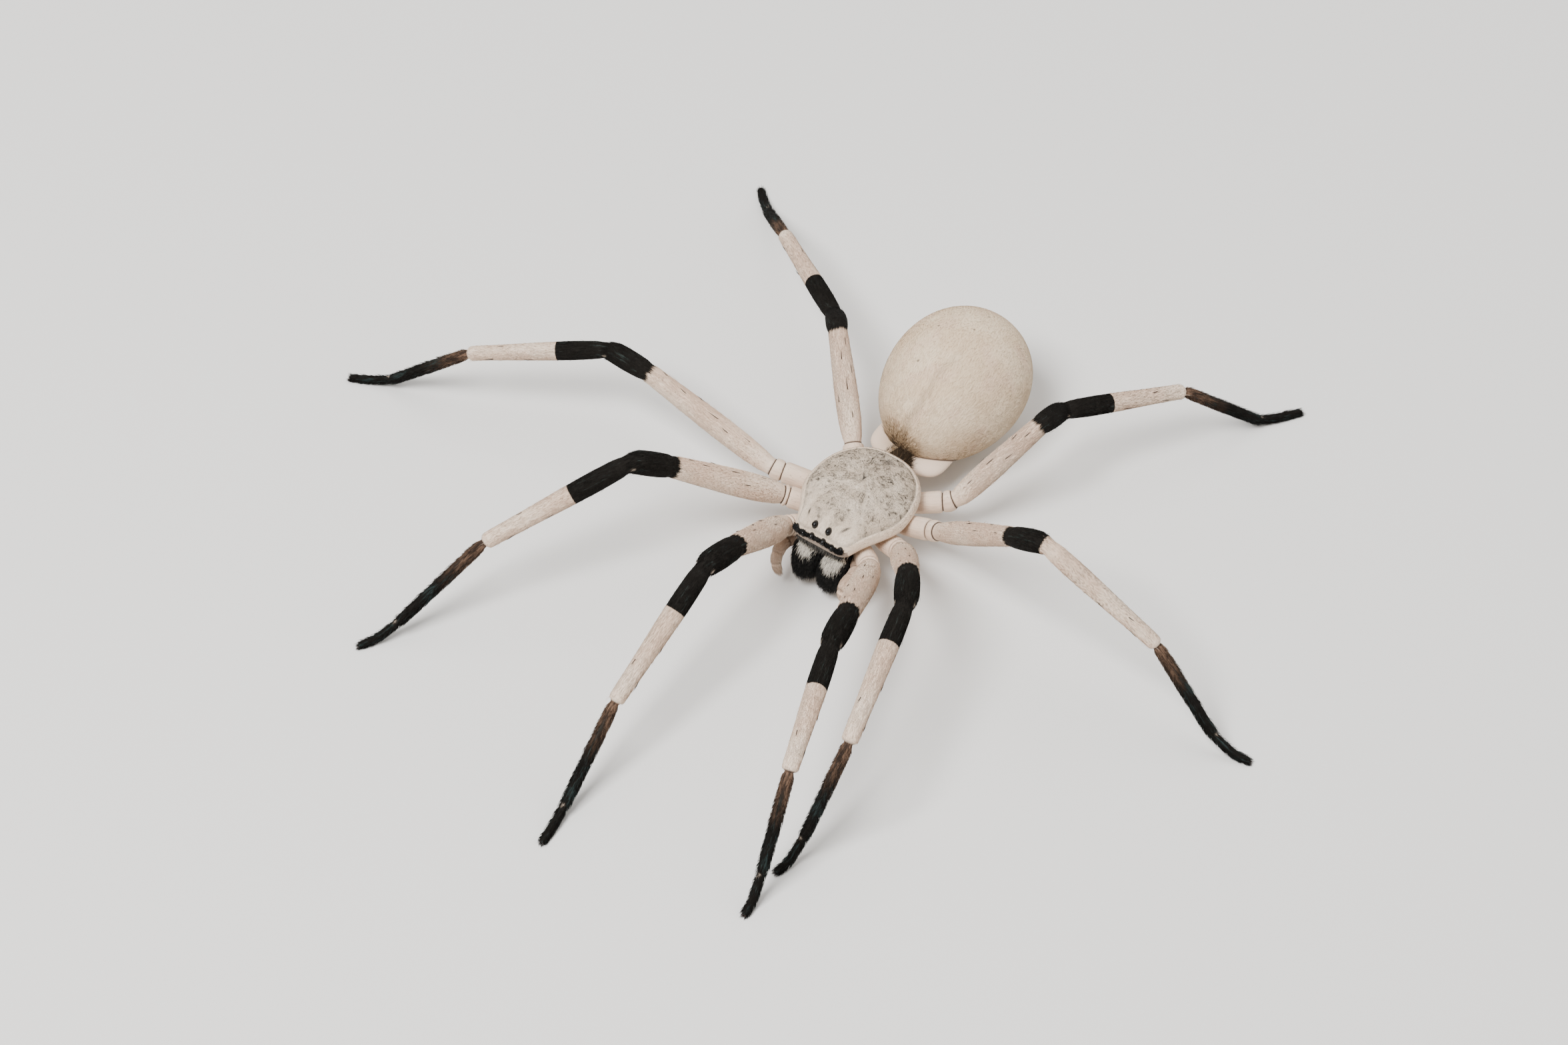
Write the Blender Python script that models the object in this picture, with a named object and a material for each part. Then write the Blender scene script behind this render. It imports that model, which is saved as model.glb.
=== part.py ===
"""White lady spider of the Namib dunes, a large pale huntsman, as a still life-size model.

The body frame has the head toward -Y, the spider's left toward +X and the floor at z = 0, with
the middle of the carapace over the frame's origin. An empty carries every node and moves the
model so that the middle of its box stands on the world's origin. Lengths are in millimetres here
and are turned into metres as each shape is made.
"""

import math
from dataclasses import dataclass

import bmesh
import bpy
from mathutils import Matrix, Vector

MM = 0.001
GAP = 0.3
EYE_GAP = 0.06
LEG_SIDES_RESOLUTION = 3
END_SPARE = 0.8
SHARP_EDGE = math.radians(50)

# Cephalothorax
CARAPACE_LENGTH = 14.1
CARAPACE_MIDDLE = -0.65
CARAPACE_WIDTH = 11.9
CARAPACE_UNDERSIDE = 6.5
CARAPACE_RIM = 7.0
CARAPACE_TOP = 9.2
CARAPACE_SPREAD = 0.9
DOME_STEEPNESS = 2.6
DOME_ROUNDNESS = 0.7
RIM_ROUNDNESS = 0.35
HEAD_NARROWING = 0.38
HEAD_NARROW_BY = 0.9
REAR_SQUARENESS = 2.3
FRONT_SQUARENESS = 7.0
HEAD_RISE = 0.35
HEAD_PLACE = -4.4
HEAD_SPREAD = 2.6
FOVEA_PLACE = 1.9
FOVEA_DEPTH = 0.35
FOVEA_WIDTH = 0.45
FOVEA_LENGTH = 1.1
STERNUM_WIDTH = 6.0
STERNUM_LENGTH = 8.6
STERNUM_BOTTOM = 2.9
STERNUM_HALF_HEIGHT = 2.4
STERNUM_MIDDLE = -0.3
STERNUM_TAPER = 0.105

# Abdomen
ABDOMEN_LENGTH = 18.3
ABDOMEN_WIDTH = 14.9
ABDOMEN_HEIGHT = 13.9
ABDOMEN_MIDDLE = Vector((0.1, 16.9, 8.1))
ABDOMEN_TILT = math.radians(5)
ABDOMEN_SWELL = 0.07
PEDICEL_RADIUS = 0.85
PEDICEL_PLACES = ((0, 3.0, 4.9), (0, 5.4, 4.7), (0, 7.4, 4.8), (0, 9.6, 5.6))
LUNG_FOLD_MIDDLE = Vector((-0.2, 10.4, 4.9))
LUNG_FOLD_SIZE = Vector((9.0, 6.7, 3.2))
LUNG_FOLD_SQUARENESS = 3.5

# Spinnerets: the mound as (how far back, rise, radius), each pair as (across, up, length, radius)
SPINNERETS_ROOT = Vector((0.1, 25.1, 6.0))
SPINNERET_MOUND = ((-1.4, 0.3, 1.5), (0.1, 0, 1.35), (0.5, 0, 1.1))
SPINNERET_PAIRS = ((0.6, -0.45, 1.5, 0.44), (0.6, 0.5, 1.7, 0.40), (0.22, 0.0, 1.1, 0.27))
SPINNERET_SPLAY = 0.12
SPINNERET_DROOP = 0.25

# Jaws and fangs on the left side: (across, ahead, height, radius) along each
JAW_LINE = (
    (1.50, -4.7, 5.3, 0.95),
    (1.58, -5.6, 5.0, 1.32),
    (1.62, -6.5, 4.5, 1.46),
    (1.60, -7.1, 3.6, 1.36),
    (1.52, -7.4, 2.7, 1.05),
    (1.46, -7.5, 2.1, 0.58),
)
FANG_LINE = (
    (1.50, -7.3, 2.4, 0.36),
    (1.35, -7.1, 1.8, 0.33),
    (0.90, -6.8, 1.55, 0.28),
    (0.40, -6.6, 1.65, 0.14),
)

# Eyes, from the head's middle: (across, ahead, height, radius)
EYES_MIDDLE = -0.14
EYES = {
    "anterior_median": (0.68, -7.49, 7.68, 0.29),
    "anterior_lateral": (1.72, -7.46, 7.46, 0.28),
    "posterior_median": (0.81, -6.70, 8.68, 0.30),
    "posterior_lateral": (2.60, -7.12, 7.46, 0.28),
}

# Bristle on the jaws: (across, ahead, height, lean out, lean down, length) of each lock
LOCK_WIDTH = 0.42
LOCK_TIP = 0.08
LOCK_FLATNESS = 0.6
LOCK_BEND = 0.16
JAW_LOCKS = (
    (0.95, -7.1, 5.0, -0.05, 1.1, 1.9),
    (1.60, -7.2, 5.1, 0.00, 1.1, 2.0),
    (2.25, -7.0, 4.9, 0.10, 1.1, 1.9),
    (0.90, -7.3, 3.9, -0.05, 1.6, 2.0),
    (1.55, -7.6, 3.8, 0.05, 1.7, 2.1),
    (2.20, -7.3, 3.8, 0.25, 1.5, 2.1),
    (2.60, -6.9, 4.2, 0.70, 1.2, 1.9),
    (1.20, -7.7, 2.9, 0.00, 2.2, 1.5),
    (1.90, -7.6, 2.8, 0.40, 2.0, 1.6),
)

# Palps: the place of each joint or bend from base to tip, and the radius there
PALP_RADII = (0.80, 0.80, 0.78, 0.75, 0.71, 0.63, 0.53, 0.34)
PALP_PLACES = {
    1: (
        (2.2, -4.2, 3.5),
        (3.3, -5.5, 3.9),
        (4.1, -6.8, 4.4),
        (4.05, -7.8, 4.5),
        (3.97, -8.65, 4.3),
        (4.05, -9.1, 3.4),
        (4.4, -9.0, 2.7),
        (4.7, -8.8, 2.1),
    ),
    -1: (
        (-2.2, -4.2, 3.5),
        (-3.3, -5.4, 3.6),
        (-3.8, -6.4, 4.3),
        (-4.15, -7.5, 4.4),
        (-4.15, -8.3, 4.2),
        (-4.0, -9.1, 3.6),
        (-3.7, -9.5, 2.9),
        (-3.2, -9.5, 2.1),
    ),
}

# Feet: the last part of each tarsus lies level, with its underside cut to the floor
FOOT_AXIS = 0.34
FOOT_LEVEL_FROM = 0.62
FOOT_LEVEL_RISE = 0.06

# Spines on the legs, as (place along the segment, degrees round from its top, length)
THORN_RADIUS = 0.26
THORN_TIP = 0.05
THORN_SIDES = 5
THORN_LEAN = math.radians(23)
THORN_ROOT = 0.70
FEMUR_THORNS = ((0.34, 35, 2.1), (0.52, -38, 2.1), (0.70, 32, 2.0), (0.86, -30, 1.9))
TIBIA_THORNS = ((0.30, 128, 2.1), (0.34, -130, 2.1), (0.66, 130, 2.0), (0.70, -128, 2.0))
METATARSUS_THORNS = ((0.16, 125, 1.6), (0.20, -127, 1.6), (0.52, 127, 1.5), (0.55, -125, 1.5))

# Parts of a leg: how a segment's radius changes along it, as (place, share of its radius)
FEMUR_SHAPE = (
    (0, 0.74), (0.08, 0.86), (0.24, 0.98), (0.38, 1.0), (0.60, 0.93), (0.85, 0.84), (1, 0.80)
)
PATELLA_SHAPE = ((0, 0.88), (0.2, 1.0), (0.6, 1.0))
TIBIA_SHAPE = ((0.12, 1.0), (0.4, 0.93), (0.7, 0.84), (0.93, 0.76), (1, 0.73))
METATARSUS_SHAPE = ((0, 1.0), (0.12, 1.03), (0.5, 0.92), (0.9, 0.86), (1, 0.84))
TARSUS_SHAPE = ((0, 1.0), (0.2, 1.04), (0.6, 0.96), (0.9, 0.88), (1, 0.62))
COXA_SWELL = 1.08
COXA_GROOVE = 0.86
COXA_GROOVE_HALF = 0.14


@dataclass(frozen=True)
class LegPair:
    """Sizes that the two legs of a pair share: segment lengths and the radius of each segment."""

    femur: float
    patella: float
    tibia: float
    metatarsus: float
    tarsus: float
    femur_radius: float
    patella_radius: float
    tibia_radius: float
    coxa_place: Vector
    trochanter: float


@dataclass(frozen=True)
class LegPose:
    """One leg's stance: where the femur starts, and each segment's heading and pitch in degrees.

    Headings turn from the side toward the tail, so that 90 points back and -90 points forward.
    """

    pair: int
    side: int
    root: tuple
    headings: tuple
    pitches: tuple


METATARSUS_RADIUS = 0.63
TARSUS_RADIUS = 0.45
COXA_RADIUS = 1.15

PAIRS = {
    1: LegPair(12.8, 5.0, 16.0, 11.3, 4.4, 1.45, 1.32, 1.08, Vector((2.6, -3.8, 4.6)), 0.6),
    2: LegPair(13.8, 4.9, 16.8, 12.4, 4.6, 1.42, 1.28, 1.08, Vector((3.5, -1.6, 4.5)), 0.65),
    3: LegPair(16.0, 4.9, 15.2, 11.6, 4.6, 1.25, 1.16, 1.0, Vector((3.7, 0.9, 4.5)), 1.2),
    4: LegPair(12.0, 4.4, 14.2, 11.8, 4.9, 1.25, 1.16, 1.02, Vector((2.7, 3.2, 4.5)), 1.2),
}

POSES = {
    "leg_1_right": LegPose(1, -1, (-4.7, -6.6, 5.8), (-97, -87, -88, -89, -95), (38, 19, -24, -42)),
    "leg_2_right": LegPose(2, -1, (-7.5, -3.0, 5.2), (-50, -56, -55, -60, -56), (35, 32, -21, -38)),
    "leg_3_right": LegPose(3, -1, (-10.1, -1.0, 5.6), (-2, 2, -27, -17, -24), (20, 1, -11, -39)),
    "leg_4_right": LegPose(4, -1, (-5.1, 6.3, 5.5), (46, 53, 33, 45, 45), (34, -32, -6, -35)),
    "leg_1_left": LegPose(1, 1, (5.3, -5.9, 5.3), (-68, -75, -70, -84, -88), (31, 14, 1, -61)),
    "leg_2_left": LegPose(2, 1, (6.8, -2.5, 5.5), (-54, -59, -75, -111, -112), (43, 17, -5, -66)),
    "leg_3_left": LegPose(3, 1, (8.9, 1.1, 6.5), (-21, -11, 8, 0, 10), (44, 33, -35, -52)),
    "leg_4_left": LegPose(4, 1, (7.4, 6.2, 5.2), (57, 91, 56, 52, 54), (41, -24, -11, -41)),
}

COLOURS = {
    "pale_cuticle": ((0.62, 0.53, 0.45), 0.8),
    "abdomen_velvet": ((0.60, 0.50, 0.39), 0.9),
    "carapace_grey": ((0.52, 0.48, 0.43), 0.85),
    "black_band": ((0.012, 0.011, 0.012), 0.6),
    "brown_foot": ((0.09, 0.06, 0.045), 0.7),
    "eye_black": ((0.005, 0.005, 0.006), 0.08),
    "fang_black": ((0.02, 0.012, 0.01), 0.25),
}


def clear_scene():
    """Removes every object that the file starts with."""
    for obj in list(bpy.data.objects):
        bpy.data.objects.remove(obj)


def make_collections():
    """A collection for the spider's nodes and one for helper shapes."""
    made = []
    for name in ("white_lady_spider", "helpers"):
        group = bpy.data.collections.new(name)
        bpy.context.scene.collection.children.link(group)
        made.append(group)
    return made


def make_materials():
    """One Principled material for each finish."""
    made = {}
    for name, (colour, roughness) in COLOURS.items():
        material = bpy.data.materials.new(name)
        material.use_nodes = True
        shader = material.node_tree.nodes["Principled BSDF"]
        shader.inputs["Base Color"].default_value = (*colour, 1.0)
        shader.inputs["Roughness"].default_value = roughness
        shader.inputs["Metallic"].default_value = 0.0
        made[name] = material
    return made


def new_object(name, mesh, group):
    """An object for a mesh, in a collection."""
    obj = bpy.data.objects.new(name, mesh)
    group.objects.link(obj)
    return obj


def largest_body(bm):
    """Leaves only the closed surface that holds the most volume."""
    bm.faces.ensure_lookup_table()
    left = set(bm.faces)
    bodies = []
    while left:
        body = {left.pop()}
        edge_of_body = list(body)
        while edge_of_body:
            face = edge_of_body.pop()
            for edge in face.edges:
                for other in edge.link_faces:
                    if other in left:
                        left.remove(other)
                        body.add(other)
                        edge_of_body.append(other)
        bodies.append(body)
    if len(bodies) < 2:
        return

    def volume(body):
        total = 0.0
        for face in body:
            corners = [v.co for v in face.verts]
            for b, c in zip(corners[1:], corners[2:]):
                total += corners[0].dot(b.cross(c))
        return total

    keep = max(bodies, key=volume)
    bmesh.ops.delete(bm, geom=[f for f in bm.faces if f not in keep], context="FACES")


def finish_mesh(mesh, weld=1e-7):
    """Merges doubles, turns the faces outwards, keeps the largest body and shades it smooth."""
    bm = bmesh.new()
    bm.from_mesh(mesh)
    bmesh.ops.remove_doubles(bm, verts=bm.verts, dist=weld)
    largest_body(bm)
    bmesh.ops.recalc_face_normals(bm, faces=bm.faces)
    bm.to_mesh(mesh)
    bm.free()
    mesh.shade_smooth()
    mesh.set_sharp_from_angle(angle=SHARP_EDGE)


def tube(name, path, group, resolution=LEG_SIDES_RESOLUTION):
    """A round tube along (point, radius) pairs in millimetres, with flat filled ends."""
    curve = bpy.data.curves.new(name, "CURVE")
    curve.dimensions = "3D"
    curve.bevel_depth = MM
    curve.bevel_resolution = resolution
    curve.use_fill_caps = True
    spline = curve.splines.new("POLY")
    spline.points.add(len(path) - 1)
    for place, (point, radius) in zip(spline.points, path):
        place.co = (*(point * MM), 1.0)
        place.radius = radius
    obj = new_object(name, curve, group)
    graph = bpy.context.evaluated_depsgraph_get()
    mesh = bpy.data.meshes.new_from_object(obj.evaluated_get(graph))
    bpy.data.objects.remove(obj)
    bpy.data.curves.remove(curve)
    finish_mesh(mesh, weld=1e-6)
    mesh.name = name
    return new_object(name, mesh, group)


def shaped_sphere(name, group, place, segments, rings):
    """A closed round form: each point of a unit sphere, polar along Z, goes where place() puts it."""
    mesh = bpy.data.meshes.new(name)
    bm = bmesh.new()
    bmesh.ops.create_uvsphere(bm, u_segments=segments, v_segments=rings, radius=1.0)
    for vert in bm.verts:
        vert.co = place(vert.co.copy()) * MM
    bm.to_mesh(mesh)
    bm.free()
    finish_mesh(mesh)
    return new_object(name, mesh, group)


def slice_off(obj, point, normal):
    """Cuts away what lies past a plane, on the side that its normal points to, and closes the cut."""
    bm = bmesh.new()
    bm.from_mesh(obj.data)
    whole = list(bm.verts) + list(bm.edges) + list(bm.faces)
    cut = bmesh.ops.bisect_plane(
        bm, geom=whole, dist=1e-7, plane_co=point * MM, plane_no=normal, clear_outer=True
    )
    rim = [item for item in cut["geom_cut"] if isinstance(item, bmesh.types.BMEdge)]
    if rim:
        bmesh.ops.holes_fill(bm, edges=rim, sides=len(rim))
    bm.to_mesh(obj.data)
    bm.free()
    finish_mesh(obj.data)


def swollen_copy(obj, gap, group):
    """A copy of a node that is larger by a gap all round, for cutting its neighbours."""
    mesh = obj.data.copy()
    bm = bmesh.new()
    bm.from_mesh(mesh)
    bm.normal_update()
    moved = {}
    for vert in bm.verts:
        moved[vert] = vert.co + vert.normal * gap * MM
    for vert, place in moved.items():
        vert.co = place
    bm.to_mesh(mesh)
    bm.free()
    cutter = new_object(obj.name + ".cutter", mesh, group)
    cutter.hide_render = True
    cutter.display_type = "WIRE"
    return cutter


def boolean(obj, others, operation, group):
    """Applies one Boolean with all the given closed meshes, and removes them."""
    operands = bpy.data.collections.new(obj.name + ".operands")
    group.children.link(operands)
    for other in others:
        for home in list(other.users_collection):
            home.objects.unlink(other)
        operands.objects.link(other)
    modifier = obj.modifiers.new("boolean", "BOOLEAN")
    modifier.operation = operation
    modifier.solver = "EXACT"
    modifier.operand_type = "COLLECTION"
    modifier.collection = operands
    graph = bpy.context.evaluated_depsgraph_get()
    mesh = bpy.data.meshes.new_from_object(obj.evaluated_get(graph))
    obj.modifiers.clear()
    obj.data = mesh
    for other in list(operands.objects):
        bpy.data.objects.remove(other)
    bpy.data.collections.remove(operands)
    finish_mesh(obj.data)


def carve(obj, neighbours, gap, helpers):
    """Cuts a node clear of its neighbours by a gap."""
    cutters = [swollen_copy(other, gap, helpers) for other in neighbours]
    boolean(obj, cutters, "DIFFERENCE", helpers)


def direction(side, heading, pitch):
    """A unit vector from a heading and a pitch in degrees, for the left (1) or right (-1) side."""
    across = math.cos(math.radians(pitch))
    return Vector(
        (
            side * math.cos(math.radians(heading)) * across,
            math.sin(math.radians(heading)) * across,
            math.sin(math.radians(pitch)),
        )
    )


def leg_joints(pose):
    """The places of a leg's joints: coxa, femur's start, knee, and so on to the level foot's tip."""
    pair = PAIRS[pose.pair]
    coxa = Vector((pose.side * pair.coxa_place.x, pair.coxa_place.y, pair.coxa_place.z))
    joints = [coxa, Vector(pose.root)]
    lengths = (pair.femur, pair.patella, pair.tibia, pair.metatarsus)
    for length, heading, pitch in zip(lengths, pose.headings, pose.pitches):
        joints.append(joints[-1] + direction(pose.side, heading, pitch) * length)
    drop = joints[-1].z - FOOT_AXIS
    run = math.sqrt(max(pair.tarsus**2 - drop**2, 0.0))
    ahead = direction(pose.side, pose.headings[-1], 0) * run
    joints.append(joints[-1] + ahead - Vector((0, 0, drop)))
    return joints


def along(start, end, shape, radius):
    """(point, radius) pairs on a straight stretch."""
    return [(start.lerp(end, share), radius * width) for share, width in shape]


def stretched(path, by):
    """A path made longer at both ends, so that a slanted cut through its end point is whole."""
    first, second = path[0][0], path[1][0]
    last, before = path[-1][0], path[-2][0]
    head = (first + (first - second).normalized() * by, path[0][1])
    tail = (last + (last - before).normalized() * by, path[-1][1])
    return [head, *path, tail]


def bent_stretch(start, corner, end, first, second, radius_a, radius_b):
    """A path that turns a corner softly, for the patella and tibia."""
    before = along(start, corner, first, radius_a)
    after = along(corner, end, second, radius_b)
    bend_in = start.lerp(corner, 0.86)
    bend_out = corner.lerp(end, 0.045)
    middle = bend_in.lerp(corner, 0.5).lerp(corner.lerp(bend_out, 0.5), 0.5)
    knee = min(radius_a, radius_b) * 0.98
    return before + [(bend_in, knee * 1.02), (middle, knee), (bend_out, knee)] + after


def thorn(start, toward, length, radius, helpers):
    """One spine: a five-sided cone with its root sunk into what it grows from."""
    mesh = bpy.data.meshes.new("thorn")
    bm = bmesh.new()
    bmesh.ops.create_cone(
        bm,
        cap_ends=True,
        segments=THORN_SIDES,
        radius1=radius * MM,
        radius2=THORN_TIP * MM,
        depth=length * MM,
    )
    middle = start + toward * (length / 2)
    turn = Vector((0, 0, 1)).rotation_difference(toward).to_matrix().to_4x4()
    bmesh.ops.transform(bm, matrix=Matrix.Translation(middle * MM) @ turn, verts=bm.verts)
    bm.to_mesh(mesh)
    bm.free()
    return new_object("thorn", mesh, helpers)


def spined(obj, start, end, rows, radius, helpers):
    """Fuses spines onto a segment: each row is (place, angle round the segment, length)."""
    axis = (end - start).normalized()
    across = axis.cross(Vector((0, 0, 1))).normalized()
    above = across.cross(axis).normalized()
    thorns = []
    for place, angle, length in rows:
        turn = math.radians(angle)
        out = above * math.cos(turn) + across * math.sin(turn)
        toward = (out * math.sin(THORN_LEAN) + axis * math.cos(THORN_LEAN)).normalized()
        root = start.lerp(end, place) + out * radius * THORN_ROOT
        thorns.append(thorn(root, toward, length, THORN_RADIUS, helpers))
    boolean(obj, thorns, "UNION", helpers)


def coxa_shape(length, trochanter):
    """How a coxa's radius changes along it, with a groove before the trochanter's ring at its end."""
    groove = 1 - trochanter / length
    half = COXA_GROOVE_HALF / length
    return (
        (0, 0.84),
        (0.3, 1.0),
        (groove - 3 * half, COXA_SWELL),
        (groove - half, 1.0),
        (groove, COXA_GROOVE),
        (groove + half, 0.98),
        ((groove + half + 1) / 2, 1.05),
        (1, 0.92),
    )


def mitre(joints, index):
    """The plane between two segments at a joint: its point and the normal that points onwards."""
    before = (joints[index] - joints[index - 1]).normalized()
    after = (joints[index + 1] - joints[index]).normalized()
    return joints[index], (before + after).normalized()


def grow_spines(nodes, pose, helpers):
    """Fuses the spines onto a leg's femur, tibia and metatarsus."""
    pair = PAIRS[pose.pair]
    joints = leg_joints(pose)
    spined(nodes["femur"], joints[1], joints[2], FEMUR_THORNS, pair.femur_radius, helpers)
    spined(nodes["patella_tibia"], joints[3], joints[4], TIBIA_THORNS, pair.tibia_radius, helpers)
    spined(nodes["metatarsus"], joints[4], joints[5], METATARSUS_THORNS, METATARSUS_RADIUS, helpers)


def build_leg(name, pose, group):
    """The five nodes of one leg."""
    pair = PAIRS[pose.pair]
    joints = leg_joints(pose)
    coxa, root, knee, shin, heel, ankle, tip = joints
    level = ankle.lerp(tip, FOOT_LEVEL_FROM)
    level.z = FOOT_AXIS + FOOT_LEVEL_RISE
    foot_path = along(ankle, level, TARSUS_SHAPE[:3], TARSUS_RADIUS)
    foot_path[-1] = (level, foot_path[-1][1])
    foot_path += [(level.lerp(tip, 0.6), TARSUS_RADIUS * 0.92), (tip, TARSUS_RADIUS * 0.68)]
    paths = {
        "coxa": along(coxa, root, coxa_shape((root - coxa).length, pair.trochanter), COXA_RADIUS),
        "femur": along(root, knee, FEMUR_SHAPE, pair.femur_radius),
        "patella_tibia": bent_stretch(
            knee, shin, heel, PATELLA_SHAPE, TIBIA_SHAPE, pair.patella_radius, pair.tibia_radius
        ),
        "metatarsus": along(heel, ankle, METATARSUS_SHAPE, METATARSUS_RADIUS),
        "tarsus": foot_path,
    }
    starts = {"femur": 1, "patella_tibia": 2, "metatarsus": 4, "tarsus": 5}
    ends = {"coxa": 1, "femur": 2, "patella_tibia": 4, "metatarsus": 5}
    nodes = {}
    for part, path in paths.items():
        longer = stretched(path, END_SPARE)
        if part == "tarsus":
            longer = longer[:-1]
        if part == "coxa":
            longer = longer[1:]
        obj = tube(f"{name}_{part}", longer, group)
        if part in starts:
            point, onward = mitre(joints, starts[part])
            slice_off(obj, point + onward * GAP / 2, -onward)
        if part in ends:
            point, onward = mitre(joints, ends[part])
            slice_off(obj, point - onward * GAP / 2, onward)
        nodes[part] = obj
    slice_off(nodes["tarsus"], Vector((0, 0, 0)), Vector((0, 0, -1)))
    return nodes


def squarish(across, back, squareness):
    """A point in a direction on a rounded square that reaches 1 on both axes."""
    reach = (abs(across) ** squareness + abs(back) ** squareness) ** (-1 / squareness)
    return across * reach, back * reach


def carapace_outline(across, back):
    """A place on the carapace's plan: a rounded shield that narrows to a squarer head."""
    x, y = squarish(across, back, REAR_SQUARENESS if back > 0 else FRONT_SQUARENESS)
    if back < 0:
        ahead = min(-y / HEAD_NARROW_BY, 1.0)
        x *= 1 - HEAD_NARROWING * (1 - math.cos(math.pi * ahead)) / 2
    return x * CARAPACE_WIDTH / 2, y * CARAPACE_LENGTH / 2 + CARAPACE_MIDDLE


def carapace_point(unit):
    """Where a point of the unit sphere goes on the carapace: a low dome with a raised head."""
    ring = math.hypot(unit.x, unit.y)
    across = unit.x / ring if ring > 1e-6 else 0.0
    back = unit.y / ring if ring > 1e-6 else 1.0
    edge_x, edge_y = carapace_outline(across, back)
    spread = ring**CARAPACE_SPREAD
    x = edge_x * spread
    y = CARAPACE_MIDDLE + (edge_y - CARAPACE_MIDDLE) * spread
    if unit.z < 0:
        drop = (CARAPACE_RIM - CARAPACE_UNDERSIDE) * (-unit.z) ** RIM_ROUNDNESS
        return Vector((x, y, CARAPACE_RIM - drop))
    steep = DOME_STEEPNESS if unit.y > 0 else DOME_STEEPNESS * (1 + back**2)
    dome = (CARAPACE_TOP - CARAPACE_RIM) * max(1 - ring**steep, 0.0) ** DOME_ROUNDNESS
    head = HEAD_RISE * math.exp(-((x / HEAD_SPREAD) ** 2) - ((y - HEAD_PLACE) / HEAD_SPREAD) ** 2) * dome
    dent = FOVEA_DEPTH * math.exp(-((x / FOVEA_WIDTH) ** 2) - ((y - FOVEA_PLACE) / FOVEA_LENGTH) ** 2)
    return Vector((x, y, CARAPACE_RIM + dome + head - dent))


def build_carapace(group):
    """The shield over the cephalothorax."""
    return shaped_sphere("carapace", group, carapace_point, 40, 18)


def sternum_point(unit):
    """Where a point of the unit sphere goes on the body under the carapace."""
    return Vector(
        (
            unit.x * STERNUM_WIDTH / 2 * (1 - STERNUM_TAPER * unit.y),
            unit.y * STERNUM_LENGTH / 2 + STERNUM_MIDDLE,
            STERNUM_BOTTOM + (1 + unit.z) * STERNUM_HALF_HEIGHT,
        )
    )


def build_sternum(group):
    """The breast plate and the body between the leg bases, up to the carapace's underside."""
    obj = shaped_sphere("sternum", group, sternum_point, 20, 12)
    slice_off(obj, Vector((0, 0, CARAPACE_UNDERSIDE - GAP)), Vector((0, 0, 1)))
    return obj


def abdomen_point(unit):
    """Where a point of the unit sphere, polar along the body, goes on the egg of the abdomen."""
    back = unit.z
    swell = 1 + ABDOMEN_SWELL * back
    local = Vector(
        (
            unit.x * ABDOMEN_WIDTH / 2 * swell,
            back * ABDOMEN_LENGTH / 2,
            -unit.y * ABDOMEN_HEIGHT / 2 * swell,
        )
    )
    return ABDOMEN_MIDDLE + Matrix.Rotation(ABDOMEN_TILT, 3, "X") @ local


def build_abdomen(group, helpers):
    """The egg-shaped abdomen, with the pale fold over the book lungs low at its front."""
    egg = shaped_sphere("abdomen", group, abdomen_point, 28, 18)

    def fold_point(unit):
        half = LUNG_FOLD_SIZE / 2
        ring = math.hypot(unit.x, unit.y)
        if ring > 1e-6:
            x, y = squarish(unit.x / ring, unit.y / ring, LUNG_FOLD_SQUARENESS)
        else:
            x, y = 0.0, 0.0
        return LUNG_FOLD_MIDDLE + Vector((x * ring * half.x, y * ring * half.y, unit.z * half.z))

    fold = shaped_sphere("lung_fold", helpers, fold_point, 24, 10)
    boolean(egg, [fold], "UNION", helpers)
    return egg


def build_pedicel(group):
    """The narrow waist between the cephalothorax and the abdomen."""
    path = [(Vector(place), PEDICEL_RADIUS) for place in PEDICEL_PLACES]
    return tube("pedicel", path, group)


def build_spinnerets(group, helpers):
    """Six short spinnerets on one low mound under the abdomen's end."""
    root = SPINNERETS_ROOT
    path = [(root + Vector((0, back, rise)), radius) for back, rise, radius in SPINNERET_MOUND]
    mound = tube("spinnerets", path, group)
    fingers = []
    for across, up, length, radius in SPINNERET_PAIRS:
        for side in (-1, 1):
            start = root + Vector((side * across, -0.2, up))
            end = start + Vector((side * SPINNERET_SPLAY, length, -SPINNERET_DROOP))
            path = [(start, radius), (start.lerp(end, 0.6), radius * 0.9), (end, radius * 0.55)]
            fingers.append(tube("finger", path, helpers))
    boolean(mound, fingers, "UNION", helpers)
    return mound


def build_chelicera(side, group):
    """One jaw: a stout lobe under the front of the carapace."""
    path = [(Vector((side * across, ahead, height)), radius) for across, ahead, height, radius in JAW_LINE]
    return tube(f"chelicera_{side_name(side)}", path, group, resolution=4)


def bristle_lock(root, toward, bend, length, width, helpers):
    """A flat, tapered lock of bristle that leans and bends, with its root sunk in."""
    path = [
        (Vector((0, 0, 0)), width * 0.75),
        (Vector((0, 0, length * 0.35)), width),
        (Vector((0, length * bend * 0.35, length * 0.7)), width * 0.7),
        (Vector((0, length * bend, length)), LOCK_TIP),
    ]
    lock = tube("lock", path, helpers, resolution=1)
    across = toward.cross(Vector((0, 0, 1))).normalized()
    down = across.cross(toward).normalized()
    turn = Matrix((across, -down, toward)).transposed().to_4x4()
    flat = Matrix.Diagonal((1.0, LOCK_FLATNESS, 1.0, 1.0))
    lock.data.transform(Matrix.Translation(root * MM) @ turn @ flat)
    finish_mesh(lock.data)
    return lock


def grow_brush(jaw, side, helpers):
    """Fuses the white tufts in front of a jaw and the black brush round its lower end."""
    locks = []
    for across, ahead, height, lean_out, lean_down, length in JAW_LOCKS:
        root = Vector((side * across, ahead, height))
        toward = Vector((side * lean_out, -1.0, -lean_down)).normalized()
        locks.append(bristle_lock(root, toward, LOCK_BEND, length, LOCK_WIDTH, helpers))
    boolean(jaw, locks, "UNION", helpers)


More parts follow.
